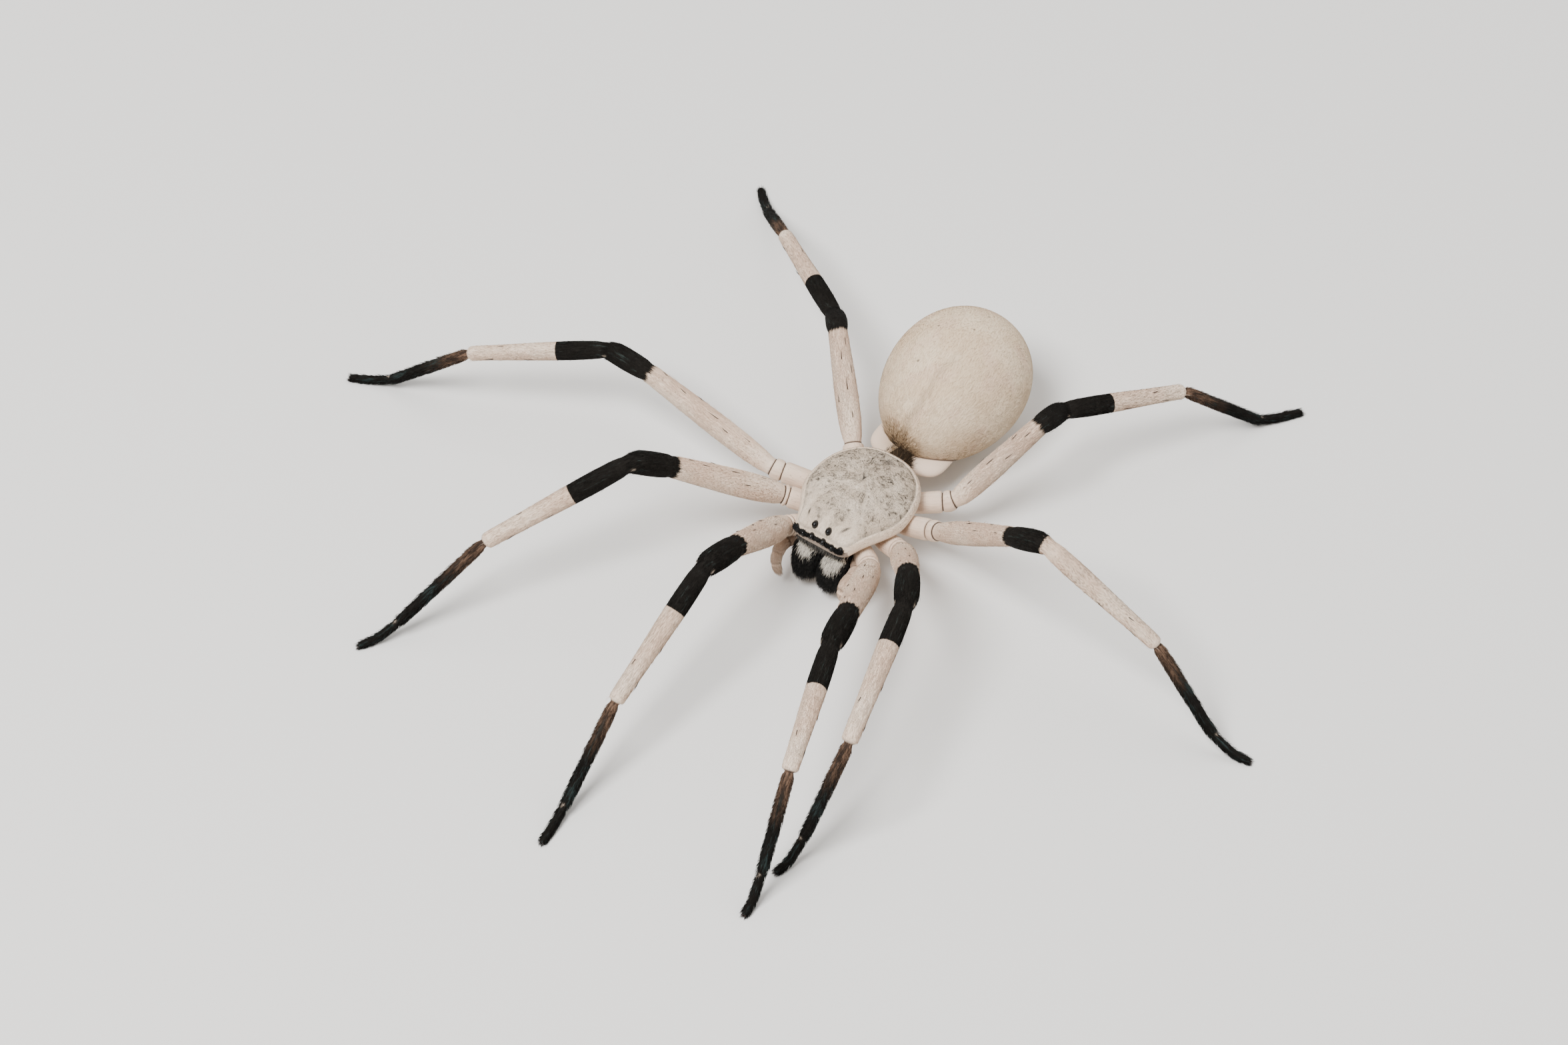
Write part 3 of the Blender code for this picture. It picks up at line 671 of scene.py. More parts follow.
@dataclass(frozen=True)
class AbdomenFinish:
    """Cream velvet with a faint brown midline, a brown patch of hair and a few dark specks, and a painted
    shadow line where the pale fold meets it.
    """

    cream: tuple = (0.68, 0.52, 0.355)
    light: tuple = (0.755, 0.605, 0.435)
    rosy: tuple = (0.705, 0.52, 0.385)
    line: tuple = (0.36, 0.265, 0.18)
    tan: tuple = (0.34, 0.22, 0.115)
    patch: tuple = (0.035, 0.022, 0.013)
    fold: tuple = (0.80, 0.63, 0.50)
    # Painted shadow for the crease where the pale fold meets the egg.
    crease: tuple = (0.085, 0.050, 0.034)
    line_half: tuple = (0.05, 0.75)
    line_until: tuple = (11.0, 19.0)
    line_above: tuple = (6.5, 9.0)
    speck_places: tuple = ((0.75, 19.3, 14.95), (0.63, 22.3, 14.05), (-2.7, 18.0, 14.55), (-2.15, 13.4, 13.8))

    def build(self, name: str, coat: bool) -> Material:
        """Makes the skin's or the coat's material.

        Args:
            name: its name.
            coat: whether it is for tufts.

        Returns:
            The material.
        """
        shader = Shader(name, roughness=0.85, sheen=0.04, specular=0.12)
        here = shader.here()
        cloud = shader.noise(here, 0.22, 2.0)
        fine = shader.noise(here, 2.6, 4.0, 0.6)
        fair = shader.blend(shader.step(cloud, 0.38, 0.62), self.cream, self.light)
        blush = shader.noise(here, 0.35, 1.0)
        fair = shader.over(fair, self.rosy, shader.step(blush, 0.5, 0.7), 0.6)
        fair = shader.over(fair, self.line, shader.step(fine, 0.52, 0.72), 0.15)
        x, y, z = shader.split(here)
        sway = shader.times(shader.minus(shader.noise(here, 0.5, 2.0), 0.5), 1.6)
        lean = shader.times(shader.minus(y, 8.0), 0.17)
        off = shader.math("ABSOLUTE", shader.minus(shader.plus(x, sway), lean))
        line = shader.fall(off, *self.line_half)
        line = shader.times(line, shader.fall(y, *self.line_until))
        line = shader.times(line, shader.step(z, *self.line_above))
        fair = shader.over(fair, self.line, line, 0.40)
        for place in self.speck_places:
            near = shader.length(shader.here(Vector(place), (1, 1, 0.6)))
            dot = shader.fall(near, 0.04, 0.20)
            fair = shader.over(fair, self.patch, dot, 0.7)
        seam = shader.mark("seam")
        fair = shader.blend(shader.step(seam, 0.0, 0.06), fair, self.fold)
        # A painted shadow line darkens the crease along the fold's seam.
        groove = shader.fall(shader.math("ABSOLUTE", seam), 0.05, 0.16)
        fair = shader.over(fair, self.crease, groove, 0.85)
        dark = shader.mark("dark")
        tint = shader.blend(shader.step(dark, 0.45, 0.85), self.tan, self.patch)
        fair = shader.blend(shader.step(dark, 0.0, 0.7), fair, tint)
        shader.coloured(fair)
        if not coat:
            shader.raised(shader.noise(here, 5.0, 4.0), 0.05)
        return shader.material


@dataclass(frozen=True)
class CarapaceFinish:
    """Grey-white down with fine grey squiggles, a paler rim and head, and painted shade in the gutter inside
    the rim.
    """

    pale: tuple = (0.645, 0.53, 0.415)
    white: tuple = (0.775, 0.66, 0.535)
    grey: tuple = (0.14, 0.115, 0.088)
    middle: tuple = (0.36, 0.29, 0.22)
    dark: tuple = (0.035, 0.030, 0.025)
    rim: tuple = (0.74, 0.60, 0.47)
    brow: tuple = (0.20, 0.155, 0.125)
    rim_width: float = 0.42
    face_from: tuple = (6.85, 7.05)
    strip_top: tuple = (7.32, 7.45)
    lip_top: tuple = (6.76, 6.82)
    eye_places: tuple = ()

    def build(self, name: str, coat: bool) -> Material:
        """Makes the skin's or the coat's material.

        Args:
            name: its name.
            coat: whether it is for tufts.

        Returns:
            The material.
        """
        shader = Shader(name, roughness=0.85, sheen=0.03, specular=0.12)
        here = shader.here()
        _, y, z = shader.split(here)
        squiggle = shader.noise(shader.stretched(here, (1, 1, 0.4)), 1.9, 4.0, 1.3)
        cloud = shader.noise(here, 0.33, 2.0)
        drift = shader.step(shader.noise(here, 0.8, 3.0, 0.4), 0.40, 0.60)
        drift = shader.plus(shader.times(drift, 0.65), 0.5)
        greyness = shader.times(shader.mark("greyness"), drift)
        base = shader.blend(shader.step(cloud, 0.36, 0.64), self.pale, self.white)
        base = shader.over(base, self.middle, greyness, 0.68)
        veins = shader.times(shader.step(squiggle, 0.53, 0.60), greyness)
        base = shader.over(base, self.grey, veins, 0.70)
        rays = shader.noise(self.round_fovea(shader), 1.0, 2.0, 0.3)
        flecks = shader.times(shader.step(rays, 0.58, 0.63), greyness)
        base = shader.over(base, self.dark, flecks, 0.80)
        base = shader.blend(shader.mark("dark"), base, self.dark)
        edge = shader.mark("edge")
        rim = shader.fall(edge, self.rim_width, self.rim_width + 0.08)
        # A painted shade line darkens the gutter just inside the rim.
        line = shader.fall(edge, self.rim_width + 0.12, self.rim_width + 0.34)
        base = shader.over(base, self.grey, line, 0.32)
        base = shader.blend(rim, base, self.rim)
        face = shader.step(shader.times(y, -1.0), *self.face_from)
        strip = shader.times(face, shader.fall(z, *self.strip_top))
        base = shader.over(base, self.brow, strip, 0.9)
        lip = shader.times(face, shader.fall(z, *self.lip_top))
        base = shader.blend(lip, base, self.rim)
        for place, radius in self.eye_places:
            near = shader.length(shader.here(Vector(place), (1, 0.72, 0.8)))
            socket = shader.fall(near, radius + 0.02, radius + 0.09)
            base = shader.blend(socket, base, self.dark)
        shader.coloured(base)
        if not coat:
            shader.raised(shader.noise(here, 4.0, 5.0, 0.5), 0.07)
        return shader.material

    @staticmethod
    def round_fovea(shader: Shader) -> Socket:
        """Coordinates that stretch a pattern into rays round the pit of the carapace.

        Args:
            shader: the material that they are for.

        Returns:
            The socket that gives them.
        """
        x, y, _ = shader.split(shader.here(Vector((-0.05, 0.8, 0))))
        angle = shader.math("ARCTAN2", x, y)
        squares = shader.plus(shader.times(x, x), shader.times(y, y))
        away = shader.math("POWER", squares, 0.5)
        node = shader.tree.nodes.new("ShaderNodeCombineXYZ")
        shader.feed(node.inputs["X"], shader.times(shader.math("SINE", angle), 15.0))
        shader.feed(node.inputs["Y"], shader.times(shader.math("COSINE", angle), 15.0))
        shader.feed(node.inputs["Z"], shader.times(away, 2.4))
        return node.outputs["Vector"]


@dataclass(frozen=True)
class JawFinish:
    """Black bristle with a patch of white hair in front."""

    black: tuple = (0.0085, 0.0080, 0.0078)
    soot: tuple = (0.030, 0.028, 0.025)
    white: tuple = (0.88, 0.82, 0.72)
    grey: tuple = (0.42, 0.37, 0.31)

    def build(self, name: str, coat: bool) -> Material:
        """Makes the skin's or the coat's material.

        Args:
            name: its name.
            coat: whether it is for tufts.

        Returns:
            The material.
        """
        shader = Shader(name, roughness=0.75, specular=0.15)
        grain = shader.noise(shader.here(), 3.0, 3.0)
        night = shader.blend(shader.step(grain, 0.45, 0.75), self.black, self.soot)
        fair = shader.blend(shader.step(shader.mark("tone"), 0.55, 0.95), self.white, self.grey)
        shader.coloured(shader.blend(shader.mark("whiteness"), night, fair))
        if not coat:
            shader.raised(grain, 0.06)
        return shader.material


@dataclass(frozen=True)
class HornFinish:
    """Polished dark horn, for fangs, claws and spines, or the gloss of an eye."""

    colour: tuple = (0.020, 0.011, 0.008)
    paler: tuple = (0.060, 0.030, 0.020)
    roughness: float = 0.25
    clear: float = 0.3
    specular: float = 0.6

    def build(self, name: str) -> Material:
        """Makes the material.

        Args:
            name: its name.

        Returns:
            The material.
        """
        shader = Shader(name, roughness=self.roughness, specular=self.specular)
        grain = shader.noise(shader.here(), 2.2, 3.0)
        shader.coloured(shader.blend(shader.step(grain, 0.4, 0.7), self.colour, self.paler))
        shader.surface.inputs["Coat Weight"].default_value = self.clear
        shader.surface.inputs["Coat Roughness"].default_value = 0.05
        return shader.material


@dataclass(frozen=True)
class Finishes:
    """Every material of the spider, made once."""

    limb_skin: Material
    limb_coat: Material
    abdomen_skin: Material
    abdomen_coat: Material
    carapace_skin: Material
    carapace_coat: Material
    jaw_skin: Material
    jaw_coat: Material
    horn: Material
    spine: Material
    eye: Material

    @classmethod
    def made(cls, eyes: tuple) -> "Finishes":
        """Builds them all.

        Args:
            eyes: the place and radius of each eye, for its dark socket.

        Returns:
            The materials.
        """
        finishes = {
            "limb": LimbFinish(),
            "abdomen": AbdomenFinish(),
            "carapace": CarapaceFinish(eye_places=eyes),
            "jaw": JawFinish(),
        }
        coated = {}
        for name, finish in finishes.items():
            for layer in ("skin", "coat"):
                coated[f"{name}_{layer}"] = finish.build(f"{name}_{layer}", coat=layer == "coat")
        return cls(
            **coated,
            horn=HornFinish().build("horn"),
            spine=HornFinish(colour=(0.022, 0.017, 0.015), roughness=0.4, clear=0.0).build("spine_horn"),
            eye=HornFinish(
                colour=(0.003, 0.003, 0.003),
                paler=(0.006, 0.005, 0.005),
                roughness=0.08,
                clear=0.0,
                specular=0.3,
            ).build("eye_gloss"),
        )


def dress(obj: Piece, material: Material, nodes: tuple[str, ...] = ()) -> None:
    """Gives a finished piece its material, hangs it under the root and hides the solids that it replaces.

    Args:
        obj: the piece.
        material: its finish.
        nodes: the solids that it replaces.
    """
    obj.data.materials.clear()
    obj.data.materials.append(material)
    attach(obj, "root")
    if nodes:
        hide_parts(*nodes)
    LOG.info("%s: %d faces", obj.name, len(obj.data.polygons))


# Limbs


@dataclass
class Limb:
    """A round limb along joints, with the place of each joint on a scale of its own."""

    name: str
    joints: Rows
    stations: Rows
    girth: Keys
    softness: float = 1.1
    level: tuple = (0.0, 0.0, 1.0)
    sides: int = 28
    reach_past: float = 4.0
    fine_places: tuple = ()

    def __post_init__(self) -> None:
        """Measures the run of the joints and lengthens both ends for the rounding."""
        head = self.joints[0] + unit(self.joints[0] - self.joints[1]) * self.reach_past
        tail = self.joints[-1] + unit(self.joints[-1] - self.joints[-2]) * self.reach_past
        self.knots = np.vstack((head, self.joints, tail))
        steps = np.linalg.norm(np.diff(self.knots, axis=0), axis=1)
        self.run = np.concatenate(([0.0], np.cumsum(steps)))

    def run_at(self, place: Rows) -> Rows:
        """How far along its line, in millimetres, a place of the limb's scale is."""
        return np.interp(place, self.stations, self.run[1:-1])

    def line(self, run: Rows) -> Rows:
        """Points of the straight line from joint to joint."""
        return np.stack([np.interp(run, self.run, self.knots[:, axis]) for axis in range(3)], axis=-1)

    def centre(self, place: Rows) -> Rows:
        """Points of the limb's middle, which turns softly at each joint."""
        run = self.run_at(place)
        spread = np.linspace(-self.softness, self.softness, 9)
        return np.mean([self.line(run + offset) for offset in spread], axis=0)

    def axes(self, place: Rows) -> tuple[Rows, Rows, Rows]:
        """Directions at places of the limb.

        Args:
            place: where they are wanted.

        Returns:
            Rows that point onwards, upwards and to the side.
        """
        run = self.run_at(place)
        onward = unit(self.line(run + self.softness) - self.line(run - self.softness))
        side = unit(np.cross(onward, np.array(self.level)))
        return onward, np.cross(side, onward), side

    def radius(self, place: Rows) -> Rows:
        """The skin's radius at places of the limb."""
        return eased(place, self.girth)

    def surface(self, place: Rows, turn: Rows) -> Rows:
        """Points of the skin.

        Args:
            place: how far along the limb they are.
            turn: how far round from its top, in radians.

        Returns:
            One row a point.
        """
        _, above, side = self.axes(place)
        out = above * np.cos(turn)[:, None] + side * np.sin(turn)[:, None]
        return self.centre(place) + out * self.radius(place)[:, None]

    def rings(self, stretches: int) -> Rows:
        """Places for the rings, closer together at each joint.

        Args:
            stretches: how many stretches the rings part.

        Returns:
            The places, in order.
        """
        grid = np.linspace(self.stations[0], self.stations[-1], 6000)
        pace = np.gradient(self.run_at(grid), grid)
        dense = pace / pace.mean() + 0.3
        for joint in self.stations:
            dense = dense + 3.0 * hump(grid, joint, 0.05)
        for place in self.fine_places:
            dense = dense + 9.0 * hump(grid, place, 0.03)
        total = np.concatenate(([0.0], np.cumsum((dense[1:] + dense[:-1]) / 2)))
        return np.interp(np.linspace(0, total[-1], stretches + 1), total, grid)

    def skin(self, cuts: int = 12) -> Piece:
        """The limb's skin as one closed tube.

        Args:
            cuts: how many cuts each subdivision of the tube makes.

        Returns:
            The skin, with the place and straightened position of each vertex.
        """
        obj = Bench.tube(f"{self.name}_skin", self.sides, cuts)
        raw = read_points(obj)
        places = self.rings((cuts + 1) ** 2)
        place = places[np.rint(raw[:, 2] * (len(places) - 1)).astype(int)]
        turn = np.arctan2(raw[:, 1], raw[:, 0])
        share = np.hypot(raw[:, 0], raw[:, 1])
        centre = self.centre(place)
        points = centre + (self.surface(place, turn) - centre) * share[:, None]
        write_points(obj, points)
        store(obj, "place", place)
        store(obj, "lie", self.straightened(place, turn))
        store(obj, "tone", np.full(len(place), 0.5))
        store(obj, "span", np.zeros(len(place)))
        Bench.smooth(obj)
        return obj

    def straightened(self, place: Rows, turn: Rows) -> Rows:
        """Where points of the skin would be, in millimetres, if the limb were straight along Z."""
        radius = self.radius(place)
        return np.stack((radius * np.cos(turn), radius * np.sin(turn), self.run_at(place)), axis=-1)

    def scattered(self, rng: Random, count: int, first: float, last: float) -> Rows:
        """Random places, as many to each square millimetre of skin.

        Args:
            rng: the random source.
            count: how many.
            first: the lowest place.
            last: the highest place.

        Returns:
            The places.
        """
        grid = np.linspace(first, last, 400)
        area = self.radius(grid) * np.gradient(self.run_at(grid))
        share = np.cumsum(area)
        return np.interp(rng.random(count) * share[-1], share, grid)

    def combed(
        self,
        rng: Random,
        place: Rows,
        turn: Rows,
        length: Rows,
        width: float | Rows,
        lift: Rows,
        stray: float = 0.16,
    ) -> Tufts:
        """Tufts that lie along the limb toward its tip.

        Args:
            rng: the random source.
            place: how far along the limb each is rooted.
            turn: how far round, in radians.
            length: the length of each.
            width: the width of each, or of all.
            lift: the angle at which each leaves the skin, in radians.
            stray: how far they lean to the side.

        Returns:
            The tufts.
        """
        onward, above, side = self.axes(place)
        width = np.broadcast_to(width, len(place))
        out = above * np.cos(turn)[:, None] + side * np.sin(turn)[:, None]
        across = np.cross(onward, out)
        lean = rng.normal(0, stray, len(place))[:, None]
        lie = unit(onward + out * np.tan(lift)[:, None] + across * lean)
        bend = -out * (np.tan(lift) * 0.45)[:, None] + across * rng.normal(0, 0.06, len(place))[:, None]
        spot = np.stack((np.mod(turn / (2 * math.pi), 1.0), (place - self.stations[0])), axis=-1)
        spot[:, 1] /= self.stations[-1] - self.stations[0]
        pace = np.diff(self.run[1:-1]) / np.diff(self.stations)
        segment = np.clip(np.searchsorted(self.stations, place, side="right") - 1, 0, len(pace) - 1)
        marks = {
            "place": place,
            "lie": self.straightened(place, turn) + rng.normal(0, 0.08, (len(place), 3)),
            "tone": rng.random(len(place)),
            "span": length * 0.9 / pace[segment],
        }
        return Tufts(self.surface(place, turn), lie, bend, length, width, spot * 0.99, marks)


@dataclass(frozen=True)
class LegPair:
    """Sizes that the two legs of a pair share."""

    femur: float
    patella: float
    tibia: float
    metatarsus: float
    tarsus: float
    femur_radius: float
    patella_radius: float
    tibia_radius: float
    coxa_place: tuple
    trochanter: float


@dataclass(frozen=True)
class LegStance:
    """One leg's stance, with the share of its tibia that is black.

    Headings turn from the side toward the tail, so that 90 points back and -90 forward.
    """

    number: int
    side: Side
    root: tuple
    headings: tuple
    pitches: tuple
    black_share: float
    ring_place: float = -1.0


PAIRS = {
    1: LegPair(12.8, 5.0, 16.0, 11.3, 4.4, 1.45, 1.32, 1.08, (2.6, -3.8, 4.6), 0.6),
    2: LegPair(13.8, 4.9, 16.8, 12.4, 4.6, 1.42, 1.28, 1.08, (3.5, -1.6, 4.5), 0.65),
    3: LegPair(16.0, 4.9, 15.2, 11.6, 4.6, 1.25, 1.16, 1.0, (3.7, 0.9, 4.5), 1.2),
    4: LegPair(12.0, 4.4, 14.2, 11.8, 4.9, 1.25, 1.16, 1.02, (2.7, 3.2, 4.5), 1.2),
}
L, R = Side.LEFT, Side.RIGHT
STANCES = (
    LegStance(1, R, (-4.7, -6.6, 5.8), (-97, -87, -88, -89, -95), (38, 19, -24, -42), 0.337),
    LegStance(2, R, (-7.5, -3.0, 5.2), (-50, -56, -55, -60, -56), (35, 32, -21, -38), 0.406),
    LegStance(3, R, (-10.1, -1.0, 5.6), (-2, 2, -27, -17, -24), (20, 1, -11, -39), 0.366),
    LegStance(4, R, (-5.1, 6.3, 5.5), (46, 53, 33, 45, 45), (34, -32, -6, -35), 0.416),
    LegStance(1, L, (5.3, -5.9, 5.3), (-68, -75, -70, -84, -88), (31, 14, 1, -61), 0.367),
    LegStance(2, L, (6.8, -2.5, 5.5), (-54, -59, -75, -111, -112), (43, 17, -5, -66), 0.312),
    LegStance(3, L, (8.9, 1.1, 6.5), (-21, -11, 8, 0, 10), (44, 33, -35, -52), 0.0, 3.30),
    LegStance(4, L, (7.4, 6.2, 5.2), (57, 91, 56, 52, 54), (41, -24, -11, -41), 0.40),
)


@dataclass
class Leg:
    """One walking leg: skin, down, spines and claws."""

    stance: LegStance
    down_count: int = 20500
    down_length: tuple = (
        (0, 0.26), (1, 0.34), (1.2, 0.50), (2, 0.48), (3, 0.44), (3.88, 0.38), (3.985, 0.15),
        (4.02, 0.50), (4.1, 0.55), (5, 0.46), (6, 0.38),
    )
    fringe_count: int = 3000
    whisker_count: int = 300
    coxa_radius: float = 1.15
    metatarsus_radius: float = 0.63
    tarsus_radius: float = 0.45
    coat_depth: float = 0.08
    foot_axis: float = 0.34
    foot_level_from: float = 0.62
    foot_level_rise: float = 0.06
    # How wide the painted shade in the folds at the leg's root is.
    crease_width: float = 0.055
    groove_half: float = 0.14
    ankle_place: float = 4.0
    ankle_width: float = 0.007
    toe_place: float = 5.0
    spine_rows: tuple = (
        (1.22, 8, 0.7), (1.36, -38, 0.9), (1.46, 6, 1.3), (1.60, 40, 1.0), (1.74, -6, 0.9), (1.86, 30, 0.8),
        (3.50, 108, 1.0), (3.54, -108, 1.0), (3.72, 20, 0.7), (3.80, 102, 1.0), (3.82, -102, 1.0),
        (4.10, 100, 1.1), (4.13, -100, 1.1), (4.44, 104, 1.0), (4.46, -104, 1.0),
    )
    spine_width: float = 0.12
    spine_lift: float = 8.0

    def __post_init__(self) -> None:
        """Works out the joints and the skin's girth."""
        self.pair = PAIRS[self.stance.number]
        self.name = f"leg_{self.stance.number}_{self.stance.side.word}"
        self.limb = Limb(
            name=self.name,
            joints=self.joint_places(),
            stations=np.array((0, 1, 2, 3, 4, 5, 5 + self.foot_level_from, 6), float),
            girth=(),
        )
        reach = float(np.linalg.norm(self.limb.joints[1] - self.limb.joints[0]))
        self.crease_places = (1 - self.pair.trochanter / reach, 0.997)
        self.crease_share = self.crease_width / reach
        self.limb.fine_places = self.crease_places
        self.limb.girth = self.girth(reach)

    def joint_places(self) -> Rows:
        """The joints from the coxa's root to the tip, with the point where the foot turns level."""
        pair, stance = self.pair, self.stance
        sign = stance.side.value
        coxa = np.array((sign * pair.coxa_place[0], *pair.coxa_place[1:]))
        joints = [coxa, np.array(stance.root, float)]
        lengths = (pair.femur, pair.patella, pair.tibia, pair.metatarsus)
        for length, heading, pitch in zip(lengths, stance.headings, stance.pitches):
            joints.append(joints[-1] + self.direction(heading, pitch) * length)
        drop = joints[-1][2] - self.foot_axis
        run = math.sqrt(pair.tarsus**2 - drop**2)
        tip = joints[-1] + self.direction(stance.headings[-1], 0) * run
        tip[2] = self.foot_axis
        level = joints[-1] + (tip - joints[-1]) * self.foot_level_from
        level[2] = self.foot_axis + self.foot_level_rise
        return np.array((*joints, level, tip))

    def direction(self, heading: float, pitch: float) -> Rows:
        """A unit vector on the leg's side from a heading and a pitch in degrees.

        Args:
            heading: from the side toward the tail.
            pitch: upwards.

        Returns:
            The direction.
        """
        level = math.cos(math.radians(pitch))
        across = self.stance.side.value * math.cos(math.radians(heading)) * level
        return np.array((across, math.sin(math.radians(heading)) * level, math.sin(math.radians(pitch))))

    def girth(self, reach: float) -> Keys:
        """The skin's radius at places along the leg.

        Args:
            reach: the length of the coxa with its trochanter.

        Returns:
            Keys of place and radius.
        """
        pair = self.pair
        groove, rim = self.crease_places
        half = self.groove_half / reach
        shapes = (
            (self.coxa_radius, (
                (0, 0.84), (0.3, 1.0), (groove - 2.5 * half, 1.06), (groove - 0.8 * half, 0.99),
                (groove, 0.84), (groove + 0.8 * half, 0.98), ((groove + rim) / 2, 1.04),
                (rim - 0.8 * half, 0.97), (rim, 0.86),
            )),
            (pair.femur_radius, (
                (1.015, 0.77), (1.08, 0.88), (1.24, 1.0), (1.38, 1.02), (1.60, 0.97), (1.85, 0.88),
                (1.95, 0.85), (1.985, 0.80),
            )),
            (pair.patella_radius, (
                (2.02, 0.88), (2.18, 0.99), (2.5, 1.04), (2.8, 1.0), (2.95, 0.89), (3.0, 0.82),
            )),
            (pair.tibia_radius, (
                (3.03, 0.88), (3.10, 1.0), (3.25, 1.05), (3.45, 1.0), (3.65, 0.91), (3.88, 0.84),
                (3.965, 0.83), (3.985, 0.74),
            )),
            (self.metatarsus_radius, (
                (4.0, 0.80), (4.03, 0.90), (4.1, 0.97), (4.4, 0.95), (4.7, 0.90), (4.93, 0.87), (4.98, 0.74),
            )),
            (self.tarsus_radius, (
                (5.02, 0.92), (5.1, 1.02), (5.5, 1.0), (5.8, 0.98), (5.9, 0.92), (5.96, 0.74), (6.0, 0.30),
            )),
        )
        depth = self.coat_depth
        return tuple((place, radius * share - depth) for radius, keys in shapes for place, share in keys)

    def crease(self, place: Rows) -> Rows:
        """How dark the painted shade in the folds at the leg's root and at its ankle is, from 0 to 1."""
        dark = sum(hump(place, fold, self.crease_share) for fold in self.crease_places)
        dark = dark + 0.6 * hump(place, self.ankle_place, self.ankle_width)
        return np.clip(1.3 * dark, 0, 1)

    def marks(self, place: Rows, turn: Rows) -> Marks:
        """What the limb's finish reads, besides the place itself.

        Args:
            place: how far along the leg.
            turn: how far round it, in radians.

        Returns:
            The marks by name.
        """
        side = np.abs(np.abs(turn) - math.radians(85))
        under = np.clip((np.abs(turn) - math.radians(95)) / math.radians(30), 0, 1)
        spot = 0.6 * np.clip(1.5 * hump(place, 3.0, 0.014) * hump(side, 0.0, 0.12), 0, 1)
        spot = spot + 0.7 * hump(place, self.toe_place, 0.012) * hump(turn, 0.0, 0.4)
        return {
            "band_end": np.full(len(place), 3 + self.stance.black_share),
            "ring": 0.55 * hump(place, self.stance.ring_place, 0.012),
            "crease": self.crease(place),
            "spot": spot,
            "blush": 0.55 * hump(place, 2.97, 0.07) * under,
        }

    def down(self, rng: Random) -> Tufts:
        """The short down that lies along the leg.

        Args:
            rng: the random source.

        Returns:
            The tufts.
        """
        place = self.limb.scattered(rng, self.down_count, 0.12, 5.97)
        turn = rng.uniform(-math.pi, math.pi, self.down_count)
        length = eased(place, self.down_length) * rng.uniform(0.7, 1.25, len(place))
        rise = eased(place, ((0, 3), (2, 3.5), (3, 4.5), (4, 7), (6, 11)))
        lift = np.radians(rise * rng.uniform(0.6, 1.5, len(place)))
        width = eased(place, ((0, 0.045), (4, 0.042), (6, 0.038)))
        tufts = self.limb.combed(rng, place, turn, length, width, lift, 0.12)
        tufts.marks.update(self.marks(place, turn))
        thin = eased(place, ((0, 0.0), (1.02, 0.0), (1.10, 0.5), (1.22, 1.0), (6, 1.0)))
        return tufts.kept((rng.random(len(place)) < thin) & (self.crease(place) < 0.1))

    def fringe(self, rng: Random) -> Tufts:
        """The denser brush on the sides and underside of the foot.

        Args:
            rng: the random source.

        Returns:
            The tufts.
        """
        place = self.limb.scattered(rng, self.fringe_count, 4.02, 5.985)
        turn = math.pi + rng.normal(0, 1.15, len(place))
        length = eased(place, ((4, 0.62), (4.5, 0.8), (5, 0.8), (5.7, 0.72), (6, 0.55)))
        length = length * rng.uniform(0.7, 1.2, len(place))
        lift = np.radians(rng.uniform(18, 44, len(place)))
        tufts = self.limb.combed(rng, place, turn, length, 0.045, lift, 0.25)
        tufts.marks.update(self.marks(place, turn))
        return tufts

    def whiskers(self, rng: Random) -> Tufts:
        """Sparse, longer, finer hairs that soften the outline.

        Args:
            rng: the random source.

        Returns:
            The tufts.
        """
        place = self.limb.scattered(rng, self.whisker_count, 1.15, 5.6)
        turn = rng.uniform(-math.pi, math.pi, len(place))
        length = rng.uniform(0.5, 1.0, len(place)) * eased(place, ((1, 1.0), (4, 0.95), (5.6, 0.75)))
        lift = np.radians(rng.uniform(14, 36, len(place)))
        tufts = self.limb.combed(rng, place, turn, length, 0.028, lift, 0.2)
        tufts.marks.update(self.marks(place, turn))
        return tufts

    def spines(self, rng: Random) -> Tufts:
        """Dark spines that lie close to the femur, the tibia and the metatarsus.

        Args:
            rng: the random source.

        Returns:
            The spines.
        """
        place, turn, length = np.array(self.spine_rows, float).T
        turn = np.radians(turn) + rng.normal(0, 0.12, len(turn))
        place = place + rng.normal(0, 0.012, len(place))
        lift = np.radians(rng.uniform(0.6, 1.5, len(place)) * self.spine_lift)
        return self.limb.combed(rng, place, turn, length, self.spine_width, lift, 0.05)

    def claws(self) -> Piece:
        """Two small hooked claws under the tip's tuft of hair."""
        onward, above, side = (rows[0] for rows in self.limb.axes(np.array([5.98])))
        start = self.limb.centre(np.array([5.96]))[0]
        pair = (-0.11, 0.11)
        roots = np.array([start + side * across - above * 0.05 for across in pair])
        lie = unit(np.array([onward * 0.9 - above * 0.25 + side * across * 1.2 for across in pair]))
        bend = np.tile(-above * 0.35, (2, 1))
        spot = np.array(((0.2, 0.2), (0.6, 0.6)))
        return Tufts(roots, lie, bend, np.full(2, 0.42), np.full(2, 0.14), spot).grow(f"{self.name}_claws")

    def build(self, finishes: Finishes, rng: Random) -> None:
        """Makes and dresses the leg's pieces.

        Args:
            finishes: the materials.
            rng: the random source.
        """
        parts = ("coxa", "femur", "patella_tibia", "metatarsus", "tarsus")
        skin = self.limb.skin()
        place = recall(skin, "place").astype(float)
        across, up, _ = recall(skin, "lie").T
        for name, rows in self.marks(place, np.arctan2(up, across).astype(float)).items():
            store(skin, name, rows)
        dress(skin, finishes.limb_skin, tuple(f"{self.name}_{part}" for part in parts))
        dress(self.down(rng).grow(f"{self.name}_down", bent=False), finishes.limb_coat)
        brush = self.fringe(rng).joined(self.whiskers(rng))
        dress(brush.grow(f"{self.name}_brush"), finishes.limb_coat)
        dress(self.spines(rng).grow(f"{self.name}_spines"), finishes.spine)
        dress(self.claws(), finishes.horn)


